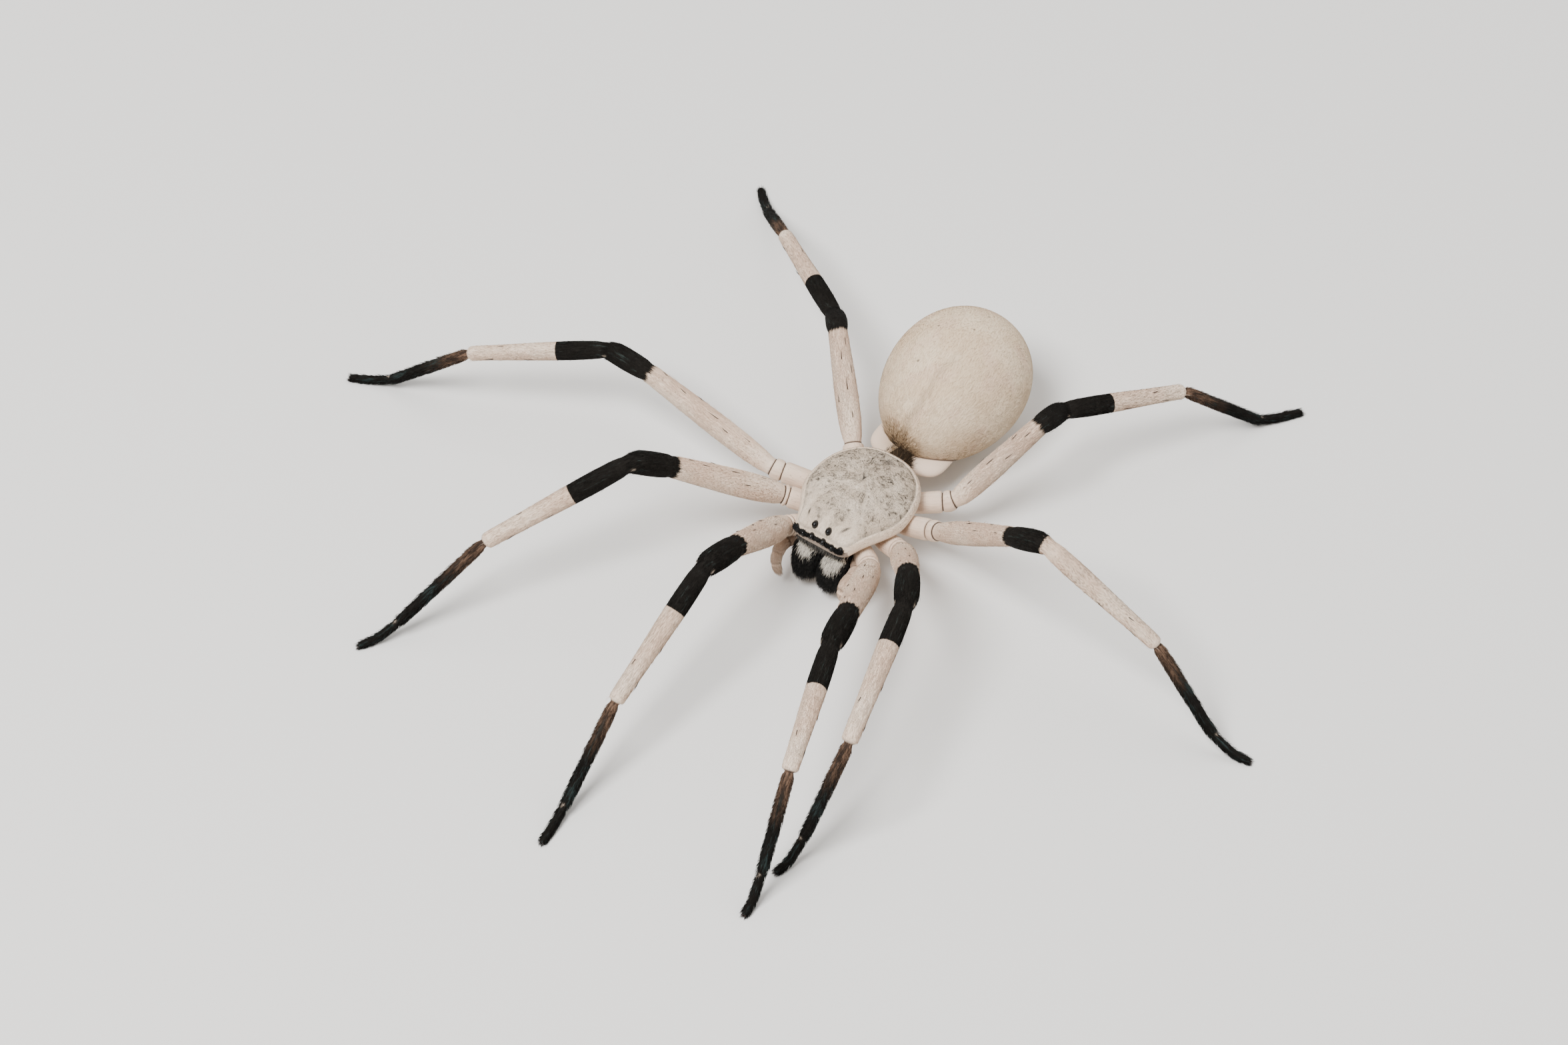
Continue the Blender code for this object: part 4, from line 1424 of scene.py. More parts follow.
@dataclass
class Palp:
    """One palp, held bent beside the jaws."""

    side: Side
    joints: tuple
    radii: tuple = (0.80, 0.80, 0.78, 0.75, 0.71, 0.63, 0.53, 0.34)
    down_count: int = 6500
    coat_depth: float = 0.07
    fold_places: tuple = (1.5, 2.6, 4.4, 5.5)
    fold_depth: float = 0.15
    fold_width: float = 0.12
    # How wide and how dark the painted shade in the palp's folds is.
    crease_width: float = 0.07
    crease_share: float = 0.3
    girth_keys: int = 57

    def __post_init__(self) -> None:
        """Works out the palp's line and girth, with a slight fold at each joint."""
        self.name = f"palp_{self.side.word}"
        places = np.linspace(0, len(self.radii) - 1, self.girth_keys)
        plain = eased(places, tuple(enumerate(self.radii)))
        folds = sum(self.fold_depth * hump(places, fold, self.fold_width) for fold in self.fold_places)
        self.end = float(places[-1])
        taper = 0.45 * hump(places, self.end, 0.35) * self.radii[-1]
        self.limb = Limb(
            name=self.name,
            joints=np.array(self.joints, float),
            stations=np.arange(len(self.joints), dtype=float),
            girth=tuple(zip(places, plain - folds - taper - self.coat_depth)),
            softness=0.55,
            level=(1.0, 0.0, 0.0),
        )

    def crease(self, place: Rows) -> Rows:
        """How dark the painted shade in the palp's folds is, from 0 to 1."""
        dark = sum(self.crease_share * hump(place, fold, self.crease_width) for fold in self.fold_places)
        return np.clip(dark, 0, 1)

    def marks(self, place: Rows) -> Marks:
        """What the limb's finish reads, for places of the palp.

        Args:
            place: where along the palp.

        Returns:
            The marks by name.
        """
        blank = np.zeros(len(place))
        brown = 0.3 * hump(place, 2.1, 0.65) if self.side is Side.RIGHT else 0.2 * hump(place, 3.4, 0.4)
        return {
            "band_end": blank + 3,
            "ring": 0.5 * hump(place, self.end, 0.5),
            "crease": self.crease(place),
            "spot": blank,
            "blush": brown,
        }

    def build(self, finishes: Finishes, rng: Random) -> None:
        """Makes and dresses the palp's skin and down.

        Args:
            finishes: the materials.
            rng: the random source.
        """
        skin = self.limb.skin(cuts=7)
        for name, rows in self.marks(recall(skin, "place").astype(float)).items():
            store(skin, name, rows)
        make_pale(skin)
        dress(skin, finishes.limb_skin, (self.name,))
        place = self.limb.scattered(rng, self.down_count, 0.8, self.end - 0.02)
        turn = rng.uniform(-math.pi, math.pi, len(place))
        length = rng.uniform(0.2, 0.4, len(place)) * eased(place, ((0, 0.8), (5, 1.0), (self.end, 1.5)))
        more = eased(place, ((0, 1.0), (5, 1.0), (self.end, 2.2)))
        lift = np.radians(rng.uniform(4, 10, len(place)) * more)
        tufts = self.limb.combed(rng, place, turn, length, 0.04, lift)
        tufts.marks.update(self.marks(place))
        tufts.marks["place"] = np.full(len(place), PALE_PLACE)
        tufts.marks["span"] = np.zeros(len(place))
        dress(tufts.grow(f"{self.name}_coat", bent=False), finishes.limb_coat)


@dataclass
class Jaw:
    """One jaw with its fang: black bristle, a white patch in front and a brush below."""

    side: Side
    joints: tuple = (
        (1.50, -4.7, 5.3), (1.58, -5.6, 5.0), (1.62, -6.5, 4.5),
        (1.60, -7.1, 3.6), (1.52, -7.4, 2.7), (1.46, -7.5, 2.1),
    )
    radii: tuple = (0.95, 1.32, 1.46, 1.36, 1.05, 0.58)
    fang_joints: tuple = ((1.50, -7.3, 2.4), (1.35, -7.1, 1.8), (0.90, -6.8, 1.55), (0.40, -6.6, 1.65))
    fang_radii: tuple = (0.36, 0.33, 0.28, 0.07)
    hair_count: int = 6500
    inner_count: int = 1300
    outer_share: float = 0.35
    white_patches: dict = field(
        default_factory=lambda: {
            Side.LEFT: ((1.60, 5.40), (1.20, 0.66)),
            Side.RIGHT: ((1.38, 5.52), (1.02, 0.50)),
        }
    )
    coat_depth: float = 0.12

    def mirrored(self, rows: tuple) -> Rows:
        """Places for this side, from those of the left side."""
        return np.array(rows, float) * np.array((self.side.value, 1, 1))

    def whiteness(self, points: Rows, out: Rows) -> Rows:
        """How white the hair in front is.

        Args:
            points: places on the jaw.
            out: the direction that each faces.

        Returns:
            From 0 for black to 1 for white.
        """
        middle, (wide, tall) = self.white_patches[self.side]
        aside = (np.abs(points[:, 0]) - middle[0]) / wide
        level = (points[:, 2] - middle[1]) / tall
        patch = np.exp(-(aside**2 + level**2) ** 1.6)
        return np.clip(patch * np.clip(-out[:, 1] * 2.4 - 0.2, 0, 1) * 1.3, 0, 1)

    def inner(self, limb: Limb, rng: Random) -> Tufts:
        """Long black hair that fills the cleft between the jaws and stands out beside them; the outer hair
        also stands in for the shade beside the palp.

        Args:
            limb: the jaw.
            rng: the random source.

        Returns:
            The tufts.
        """
        place = rng.uniform(1.6, 4.8, self.inner_count)
        # The outward hair is the jaw's black side hair, and also stands in for the shade between the jaw and
        # the palp.
        outer = rng.random(self.inner_count) < self.outer_share
        turn = np.where(outer == (self.side is Side.LEFT), 0.0, math.pi)
        turn = turn + rng.normal(0, 0.45, self.inner_count)
        length = rng.uniform(0.8, 1.5, self.inner_count)
        lift = np.radians(rng.uniform(20, 55, self.inner_count))
        tufts = limb.combed(rng, place, turn, length, 0.07, lift, 0.35)
        tufts.marks["whiteness"] = np.zeros(self.inner_count)
        return tufts

    def build(self, finishes: Finishes, rng: Random) -> None:
        """Makes and dresses the jaw, its hair and its fang.

        Args:
            finishes: the materials.
            rng: the random source.
        """
        word = self.side.word
        keys = tuple((i, radius - self.coat_depth) for i, radius in enumerate(self.radii))
        stations = np.arange(len(self.joints), dtype=float)
        limb = Limb(f"chelicera_{word}", self.mirrored(self.joints), stations, keys, 0.5, (1.0, 0, 0))
        skin = limb.skin(cuts=6)
        points = (read_points(skin) - ORIGIN) / MM
        centre = limb.centre(np.interp(points[:, 1], limb.joints[::-1, 1], stations[::-1]))
        store(skin, "whiteness", self.whiteness(points, unit(points - centre)))
        dress(skin, finishes.jaw_skin, (f"chelicera_{word}",))
        place = limb.scattered(rng, self.hair_count, 0.9, stations[-1])
        turn = rng.uniform(-math.pi, math.pi, len(place))
        length = eased(place, ((0, 0.35), (2, 0.7), (3.4, 1.05), (4.4, 1.4), (5, 1.25)))
        length = length * rng.uniform(0.65, 1.2, len(place))
        rise = eased(place, ((0, 12), (2, 18), (3.5, 26), (5, 34)))
        lift = np.radians(rise * rng.uniform(0.6, 1.3, len(place)))
        tufts = limb.combed(rng, place, turn, length, 0.065, lift, 0.2)
        white = self.whiteness(tufts.roots, unit(tufts.roots - limb.centre(place)))
        shown = (white > rng.random(len(place)) * 0.75).astype(float)
        tufts.marks["whiteness"] = shown
        tufts.length = np.where(shown > 0, rng.uniform(0.55, 1.1, len(place)), tufts.length)
        tufts.width = np.where(shown > 0, 0.055, tufts.width)
        tufts = tufts.joined(self.inner(limb, rng))
        dress(tufts.grow(f"chelicera_{word}_bristle"), finishes.jaw_coat)
        keys = tuple(enumerate(self.fang_radii))
        stations = np.arange(len(self.fang_joints), dtype=float)
        fang = Limb(f"fang_{word}", self.mirrored(self.fang_joints), stations, keys, 0.35, (0, 1.0, 0), 20)
        dress(fang.skin(cuts=4), finishes.horn, (f"fang_{word}",))


# Trunk


@dataclass
class Cephalothorax:
    """The carapace, the body under it with the breast plate, the eyes and the eyebrows of bristle."""

    length: float = 14.1
    middle: float = -0.65
    width: float = 11.9
    underside: float = 6.5
    rim: float = 7.0
    top: float = 9.2
    rear_squareness: float = 2.3
    front_squareness: float = 7.0
    narrowing: float = 0.38
    narrow_by: float = 0.9
    head_rise: float = 0.35
    head_middle: tuple = (0.0, -4.4)
    head_size: tuple = (2.6, 2.6)
    fovea: tuple = (-0.21, 0.9)
    fovea_depth: float = 0.30
    fovea_size: tuple = (0.28, 0.7)
    spread_power: float = 0.9
    ray_depth: float = 0.10
    neck_depth: float = 0.16
    neck_width: float = 0.32
    ridge_height: float = 0.12
    gutter_depth: float = 0.10
    trunk_half: tuple = (3.0, 4.2)
    trunk_level: float = 5.3
    trunk_heights: tuple = (2.32, 1.9)
    coat_depth: float = 0.10
    down_count: int = 32000
    brow_count: int = 2400
    fringe_count: int = 850
    slits_before: float = -4.9
    slits: tuple = ((2.07, -5.71, 0.55, 0.10, 0.42, 1.0), (-2.28, -5.7, -0.25, 0.09, 0.35, 0.8))
    pale_patches: tuple = (
        ((-2.9, -4.3), (0.9, 1.7), 0.85), ((2.5, -5.4), (0.9, 1.7), 0.85), ((-0.6, -0.5), (0.8, 0.6), 0.6),
        ((0.9, -3.0), (0.7, 0.9), 0.6), ((-1.4, -2.4), (0.6, 0.9), 0.4), ((3.4, -1.6), (0.7, 1.6), 0.35),
    )
    dark_patches: tuple = (((0.5, 4.3), (0.55, 0.60), 1.3), ((-0.1, 3.2), (0.28, 0.40), 0.7))
    brow_level: float = 7.44
    brow_arch: float = 0.10
    brow_reach: float = 2.95
    brow_half: float = 0.23
    brow_outer: float = 1.2
    brow_before: float = -6.6
    eyes_middle: float = -0.14
    eyes: dict = field(
        default_factory=lambda: {
            "anterior_median": ((0.68, -7.49, 7.68), 0.29),
            "anterior_lateral": ((1.72, -7.46, 7.46), 0.28),
            "posterior_median": ((0.81, -6.70, 8.68), 0.30),
            "posterior_lateral": ((2.60, -7.12, 7.46), 0.28),
        }
    )

    def eye_rows(self) -> list[tuple[str, tuple, float]]:
        """The node's name, the place and the radius of each eye."""
        rows = []
        for name, ((x, y, z), radius) in self.eyes.items():
            for side in Side:
                place = (self.eyes_middle + side.value * x, y, z)
                rows.append((f"eye_{name}_{side.word}", place, radius))
        return rows

    def outline(self, across: Rows, back: Rows) -> tuple[Rows, Rows]:
        """The carapace's plan: a rounded shield that narrows to the head.

        Args:
            across: the sideways part of a unit direction.
            back: its part toward the tail.

        Returns:
            The places across and along where the rim is.
        """
        power = np.where(back > 0, self.rear_squareness, self.front_squareness)
        reach = (np.abs(across) ** power + np.abs(back) ** power) ** (-1 / power)
        x, y = across * reach, back * reach
        ahead = np.clip(-y / self.narrow_by, 0, 1)
        x = x * (1 - self.narrowing * (1 - np.cos(math.pi * ahead)) / 2)
        shrink = 1 - self.coat_depth / (self.width / 2)
        return x * self.width / 2 * shrink, y * self.length / 2 * shrink + self.middle

    def shield(self, ball: Rows) -> Rows:
        """Where points of the unit sphere go on the carapace.

        Args:
            ball: rows on the unit sphere.

        Returns:
            Rows in the spider's frame.
        """
        ring = np.hypot(ball[:, 0], ball[:, 1])
        safe = np.maximum(ring, 1e-9)
        across = ball[:, 0] / safe
        back = np.where(ring > 1e-9, ball[:, 1] / safe, 1.0)
        edge_x, edge_y = self.outline(across, back)
        spread = ring**self.spread_power
        x = edge_x * spread
        y = self.middle + (edge_y - self.middle) * spread
        below = np.clip(-ball[:, 2], 0, 1) ** 0.35
        under = self.rim + (self.underside - self.rim) * below
        steep = np.where(ball[:, 1] > 0, 2.6, 2.6 + 2.6 * back**2)
        dome = (self.top - self.coat_depth - self.rim) * np.clip(1 - ring**steep, 0, 1) ** 0.7
        head = self.head_rise * mound(x, y, self.head_middle, self.head_size) * dome
        pit = self.fovea_depth * mound(x, y, self.fovea, self.fovea_size)
        angle = np.arctan2(x, y - self.fovea[1])
        reach = np.hypot(x, y - self.fovea[1])
        rays = np.cos(angle * 4) ** 8 * hump(reach, 3.0, 1.6) * self.ray_depth * np.clip(ball[:, 2] * 3, 0, 1)
        neck = np.abs(np.abs(x) - 0.6 - 0.42 * (self.fovea[1] - y))
        groove = self.neck_depth * hump(neck, 0.0, self.neck_width) * hump(y, -1.6, 2.0)
        edge = self.edge(x, y, ring)
        ridge = self.ridge_height * hump(edge, 0.22, 0.20) - self.gutter_depth * hump(edge, 0.58, 0.14)
        ridge = ridge * np.clip((y + 6.6) / 1.2, 0, 1)
        top = self.rim + dome + head - pit - rays - groove + ridge
        return np.stack((x, y, np.where(ball[:, 2] < 0, under, top)), axis=-1)

    def marks(self, points: Rows, ring: Rows) -> Marks:
        """The carapace's markings.

        Args:
            points: places on it.
            ring: how far out from its middle each is, from 0 to 1.

        Returns:
            How grey, how dark and how much of the rim's own colour.
        """
        x, y = points[:, 0], points[:, 1]
        head = np.clip((-4.9 - y) / 1.5, 0, 1)
        streaks = 0.8 * hump(np.abs(x + 0.1), 0.85, 0.42) * hump(y, -5.1, 1.5)
        stripe = 0.45 * hump(x, 0.0, 0.36) * np.clip((-0.6 - y) / 2, 0, 1)
        rear = 0.82 + 0.18 * np.clip((y + 1.0) / 3, 0, 1)
        bare = sum(share * mound(x, y, middle, size) for middle, size, share in self.pale_patches)
        grey = np.clip(rear + streaks * head - head * 0.75 - stripe - bare, 0, 1)
        away_x, away_y = x - self.fovea[0], y - self.fovea[1]
        star = mound(away_x, away_y, (0.0, 0.0), (0.12, 0.50))
        ray = np.abs(np.abs(away_x) - 0.6 * away_y)
        star = star + hump(ray, 0.0, 0.08) * hump(away_y, 0.3, 0.35)
        patch = sum(share * mound(x, y, middle, size) for middle, size, share in self.dark_patches)
        slit = sum(
            share * hump(x - across - slant * (y - back), 0.0, wide) * hump(y, back, long)
            for across, back, slant, wide, long, share in self.slits
        )
        dark = np.clip(0.9 * star + 0.55 * patch + 1.8 * slit, 0, 1)
        return {"greyness": grey, "dark": dark, "edge": self.edge(x, y, ring)}

    def edge(self, x: Rows, y: Rows, ring: Rows) -> Rows:
        """How far inside the margin a point is, in millimetres, seen from above.

        Args:
            x: its place across.
            y: its place along.
            ring: how far out from the middle it is, from 0 to 1.

        Returns:
            The distance.
        """
        reach = np.hypot(x, y - self.middle)
        share = ring**self.spread_power
        return reach * (1 - share) / np.maximum(share, 1e-6)

    def carapace(self) -> Piece:
        """The carapace's skin."""
        obj = Bench.ball("carapace_skin", 192, 128)
        ball = unit(read_points(obj))
        points = self.shield(ball)
        write_points(obj, points)
        for name, rows in self.marks(points, np.hypot(ball[:, 0], ball[:, 1])).items():
            store(obj, name, rows)
        Bench.smooth(obj)
        return obj

    def scattered(self, rng: Random, count: int) -> Rows:
        """Random rows of the unit sphere that spread evenly over the carapace's upper side.

        Args:
            rng: the random source.
            count: how many.

        Returns:
            The rows.
        """
        turn = rng.uniform(0, 2 * math.pi, count)
        ring = np.sqrt(rng.random(count)) ** (1 / self.spread_power) * 0.995
        return np.stack((ring * np.cos(turn), ring * np.sin(turn), np.sqrt(1 - ring**2)), axis=-1)

    def slopes(self, ball: Rows) -> tuple[Rows, Rows]:
        """The carapace's places for rows on the unit sphere, and the unit normals there."""
        here, out = sloped(self.shield, ball, np.array((1.0, 0, 0)), np.array((0, 1.0, 0)))
        return here, np.where(out[:, 2:] < 0, -out, out)

    def down(self, rng: Random) -> Piece:
        """The short down on the carapace, combed back from the face.

        Args:
            rng: the random source.

        Returns:
            The coat.
        """
        ball = self.scattered(rng, self.down_count)
        roots, out = self.slopes(ball)
        clear = self.clear_of_eyes(roots, 0.10)
        back = np.array((0.0, 1.0, 0.0)) + np.outer(roots[:, 0], (0.05, 0.0, 0.0))
        along = laid(back, out)
        aside = np.cross(out, along)
        lean = rng.normal(0, 0.35, len(roots))[:, None]
        lift = np.tan(np.radians(rng.uniform(2, 7, len(roots))))[:, None]
        lie = unit(along + aside * lean + out * lift)
        ring = np.hypot(ball[:, 0], ball[:, 1])
        spot = 0.5 + ball[:, :2] * 0.49
        marks = self.marks(roots, ring)
        marks["tone"] = rng.random(len(roots))
        clear &= rng.random(len(roots)) < 0.35 + 0.65 * marks["greyness"]
        clear &= (marks["dark"] < 0.5) | (roots[:, 1] > self.slits_before)
        length = rng.uniform(0.14, 0.28, len(roots))
        width = np.full(len(roots), 0.036)
        tufts = Tufts(roots, lie, -out * lift * 0.4, length, width, spot, marks)
        return tufts.kept(clear).grow("carapace_down", bent=False)

    def clear_of_eyes(self, roots: Rows, margin: float) -> Rows:
        """Which roots stand clear of every eye.

        Args:
            roots: places in the spider's frame.
            margin: how far from an eye's surface they stay.

        Returns:
            True for each that is clear.
        """
        clear = np.ones(len(roots), bool)
        for _, place, radius in self.eye_rows():
            clear &= np.linalg.norm(roots - np.array(place), axis=1) > radius + margin
        return clear

    def brows(self, rng: Random) -> Tufts:
        """Black bristles in a line over the jaws, on both sides of the middle eyes.

        Args:
            rng: the random source.

        Returns:
            The bristles.
        """
        turn = rng.uniform(-2.6, -0.5, 120 * self.brow_count)
        ring = rng.uniform(0.88, 0.999, len(turn))
        ball = np.stack((ring * np.cos(turn), ring * np.sin(turn), np.sqrt(1 - ring**2)), axis=-1)
        roots = self.shield(ball)
        across = roots[:, 0] - self.eyes_middle
        level = roots[:, 2] - self.brow_level - self.brow_arch * np.cos(across * 1.1)
        near = (np.abs(across) < self.brow_reach) & (roots[:, 1] < self.brow_before)
        near &= np.abs(level) < self.brow_half
        near &= self.clear_of_eyes(roots, 0.04) | (np.abs(across) > self.brow_outer)
        roots, out = self.slopes(ball[np.flatnonzero(near)[: self.brow_count]])
        count = len(roots)
        across = roots[:, 0] - self.eyes_middle
        rise = np.array((0.0, -0.15, 0.8)) + np.outer(across * 0.12, (1, 0, 0))
        lie = unit(out * 0.5 + rise + rng.normal(0, 0.34, (count, 3)))
        spot = np.stack((0.5 + roots[:, 0] * 0.1, roots[:, 2] * 0.05), axis=-1)
        marks = {"whiteness": np.zeros(count), "tone": rng.random(count)}
        length = rng.uniform(0.16, 0.38, count) + 0.14 * (np.abs(across) > self.brow_outer)
        return Tufts(roots, lie, out * -0.1, length, np.full(count, 0.05), spot, marks)

    def fringe(self, rng: Random) -> Tufts:
        """The dark grey hair that hangs from the front margin over the jaws.

        Args:
            rng: the random source.

        Returns:
            The tufts.
        """
        count = self.fringe_count
        across = rng.uniform(-2.7, 2.9, count)
        front = -7.50 + 0.035 * across**2
        front = front + rng.uniform(0, 0.25, count)
        roots = np.stack((across, front, rng.uniform(6.5, 6.66, count)), axis=-1)
        lie = unit(np.array((0.0, -0.40, -1.0)) + rng.normal(0, 0.30, (count, 3)))
        spot = np.stack((0.5 + across * 0.1, rng.uniform(0.1, 0.2, count)), axis=-1)
        marks = {"whiteness": rng.uniform(0.0, 0.14, count), "tone": rng.random(count)}
        bend = np.tile((0.0, 0.05, -0.05), (count, 1))
        return Tufts(roots, lie, bend, rng.uniform(0.4, 0.9, count), np.full(count, 0.05), spot, marks)

    def trunk(self) -> Piece:
        """The body under the carapace, with the breast plate."""
        obj = Bench.ball("sternum_skin", 72, 48)
        ball = read_points(obj)
        x, y, z = ball.T
        half_x, half_y = self.trunk_half
        wide = (1 - 0.105 * y) * (half_x - self.coat_depth)
        plate = 0.10 * hump(np.hypot(x, y), 0.78, 0.06) * np.clip(-z * 3, 0, 1)
        low = self.trunk_level + z * np.where(z < 0, *self.trunk_heights) + plate
        write_points(obj, np.stack((x * wide, y * half_y + STERNUM_MIDDLE_Y, low), axis=-1))
        store(obj, "place", np.full(len(ball), PALE_PLACE))
        store(obj, "lie", ball * np.array((3, 4.2, 2.3)))
        Bench.smooth(obj)
        return obj

    def build_eyes(self, finishes: Finishes) -> None:
        """Makes the eight glossy eyes.

        Args:
            finishes: the materials.
        """
        for node, place, radius in self.eye_rows():
            obj = Bench.ball(f"{node}_lens", 40, 24)
            write_points(obj, np.array(place) + read_points(obj) * radius)
            Bench.smooth(obj)
            dress(obj, finishes.eye, (node,))

    def build(self, finishes: Finishes, rng: Random) -> None:
        """Makes and dresses the front half of the body.

        Args:
            finishes: the materials.
            rng: the random source.
        """
        dress(self.carapace(), finishes.carapace_skin, ("carapace",))
        dress(self.down(rng), finishes.carapace_coat)
        dress(self.trunk(), finishes.limb_skin, ("sternum",))
        bristle = self.brows(rng).joined(self.fringe(rng))
        dress(bristle.grow("brow_bristle"), finishes.jaw_coat)
        self.build_eyes(finishes)


@dataclass
class Abdomen:
    """The egg of the abdomen with the folds low at its front, the waist and the spinnerets."""

    length: float = 18.3
    width: float = 14.9
    height: float = 13.9
    middle: tuple = (0.1, 16.9, 8.1)
    tilt: float = 5.0
    swelling: float = 0.07
    coat_depth: float = 0.12
    down_count: int = 45000
    patch_count: int = 1000
    waist_count: int = 1900
    patch_middle: tuple = (-0.9, 8.2, 7.2)
    patch_size: tuple = (2.8, 2.0, 2.5)
    blush: float = 0.55
    hair_from: tuple = (-0.1, 7.6, 5.2)
    hair_to: tuple = (0.1, 26.0, 6.2)
    fold_middle: tuple = (-0.2, 10.4, 4.9)
    fold_size: tuple = (9.0, 6.7, 3.2)
    fold_squareness: float = 3.5
    spinneret_pairs: tuple = ((0.6, -0.45, 1.5, 0.42), (0.6, 0.5, 1.7, 0.38), (0.22, 0.0, 1.1, 0.25))

    @property
    def half(self) -> Rows:
        """Half the egg's width, length and height, without its coat."""
        return np.array((self.width, self.length, self.height)) / 2 - self.coat_depth

    @property
    def fold_half(self) -> Rows:
        """Half the pale fold's width, length and height, without its coat."""
        return np.array(self.fold_size) / 2 - self.coat_depth

    def egg(self, ball: Rows) -> Rows:
        """Where points of the unit sphere, polar along the body, go on the abdomen.

        Args:
            ball: rows on the unit sphere.

        Returns:
            Rows in the spider's frame.
        """
        x, y, z = ball.T
        half_x, half_y, half_z = self.half
        swell = 1 + self.swelling * z
        local_x = x * half_x * swell
        local_y = z * half_y
        local_z = -y * half_z * swell
        lean = math.radians(self.tilt)
        turned_y = local_y * math.cos(lean) - local_z * math.sin(lean)
        turned_z = local_y * math.sin(lean) + local_z * math.cos(lean)
        return np.stack((local_x, turned_y, turned_z), axis=-1) + np.array(self.middle)

    def egg_distance(self, points: Rows) -> Rows:
        """How far points are outside the egg, in about millimetres, with a minus inside."""
        lean = math.radians(self.tilt)
        x, y, z = (points - np.array(self.middle)).T
        local_y = y * math.cos(lean) + z * math.sin(lean)
        local_z = z * math.cos(lean) - y * math.sin(lean)
        half_x, half_y, half_z = self.half
        back = local_y / half_y
        swell = 1 + self.swelling * back
        wide = x / (half_x * swell)
        tall = local_z / (half_z * swell)
        return (np.sqrt(wide**2 + back**2 + tall**2) - 1) * self.height / 2

    def fold_distance(self, points: Rows) -> Rows:
        """How far points are outside the pale fold, in about millimetres, with a minus inside."""
        x, y, z = np.abs((points - np.array(self.fold_middle)) / self.fold_half).T
        plan = (x**self.fold_squareness + y**self.fold_squareness) ** (1 / self.fold_squareness)
        return (np.hypot(plan, z) - 1) * 2.5

    def fold(self) -> Piece:
        """The pale fold over the book lungs, as a rounded pillow."""
        obj = Bench.ball("lung_fold", 112, 56)
        ball = unit(read_points(obj))
        ring = np.maximum(np.hypot(ball[:, 0], ball[:, 1]), 1e-9)
        across, back = np.abs(ball[:, 0] / ring), np.abs(ball[:, 1] / ring)
        reach = (across**self.fold_squareness + back**self.fold_squareness) ** (-1 / self.fold_squareness)
        pillow = ball * self.fold_half
        pillow[:, :2] *= reach[:, None]
        write_points(obj, pillow + np.array(self.fold_middle))
        return obj

    def darkness(self, points: Rows) -> Rows:
        """How far a point lies in the brown patch at the front, from 0 to 1."""
        away = (points - np.array(self.patch_middle)) / np.array(self.patch_size)
        return np.exp(-np.sum(away**2, axis=1))

    def skin(self) -> Piece:
        """The abdomen's skin."""
        obj = Bench.ball("abdomen_skin", 160, 108)
        write_points(obj, self.egg(read_points(obj)))
        fold = self.fold()
        Bench.only(obj)
        modifier = obj.modifiers.new("join_fold", "BOOLEAN")
        modifier.operation = "UNION"
        modifier.object = fold
        bpy.ops.object.modifier_apply(modifier=modifier.name)
        bpy.data.objects.remove(fold)
        points = (read_points(obj) - ORIGIN) / MM
        beyond = self.egg_distance(points)
        store(obj, "seam", np.where(beyond > 0.01, beyond, -self.fold_distance(points)))
        store(obj, "dark", self.darkness(points) * self.blush)
        Bench.smooth(obj, 35.0)
        return obj

    def slopes(self, ball: Rows) -> tuple[Rows, Rows]:
        """The abdomen's places and the directions that it faces there.

        Args:
            ball: rows on the unit sphere.

        Returns:
            The places and the unit normals.
        """
        first = unit(np.cross(ball, (0.3, 0.5, 0.8)))
        here, out = sloped(self.egg, ball, first, np.cross(ball, first))
        facing = np.sum(out * (here - np.array(self.middle)), axis=1)
        return here, np.where(facing[:, None] < 0, -out, out)

    def tufts(self, rng: Random, ball: Rows, length: Rows, lift: Rows, width: float) -> Tufts:
        """Tufts combed toward the tail.

        Args:
            rng: the random source.
            ball: the roots, on the unit sphere.
            length: the length of each.
            lift: the angle at which each leaves the skin, in radians.
            width: how wide each is.

        Returns:
            The tufts.
        """
        roots, out = self.slopes(ball)
        away = roots - np.array(self.hair_from)
        toward = np.array(self.hair_to) - roots
        away /= np.sum(away**2, axis=1)[:, None]
        toward /= np.sum(toward**2, axis=1)[:, None]
        back = away + toward
        along = laid(back, out)
        aside = np.cross(out, along)
        rise = np.tan(lift)[:, None]
        lie = unit(along + aside * rng.normal(0, 0.25, len(ball))[:, None] + out * rise)
        turn = np.arctan2(ball[:, 1], ball[:, 0]) / (2 * math.pi) + 0.5
        spot = np.stack((turn, np.arccos(np.clip(ball[:, 2], -1, 1)) / math.pi), axis=-1) * 0.99
        marks = {
            "seam": -self.fold_distance(roots),
            "dark": self.darkness(roots) * self.blush,
            "tone": rng.random(len(ball)),
        }
        return Tufts(roots, lie, -out * rise * 0.4, length, np.full(len(ball), width), spot, marks)

    def coat(self, rng: Random) -> Piece:
        """The fine down, kept off the pale fold.

        Args:
            rng: the random source.

        Returns:
            The coat.
        """
        ball = unit(rng.normal(0, 1, (self.down_count, 3)))
        length = rng.uniform(0.22, 0.42, len(ball))
        fine = self.tufts(rng, ball, length, np.radians(rng.uniform(2, 6.5, len(ball))), 0.036)
        return fine.kept(fine.marks["seam"] < -0.05).grow("abdomen_down", bent=False)

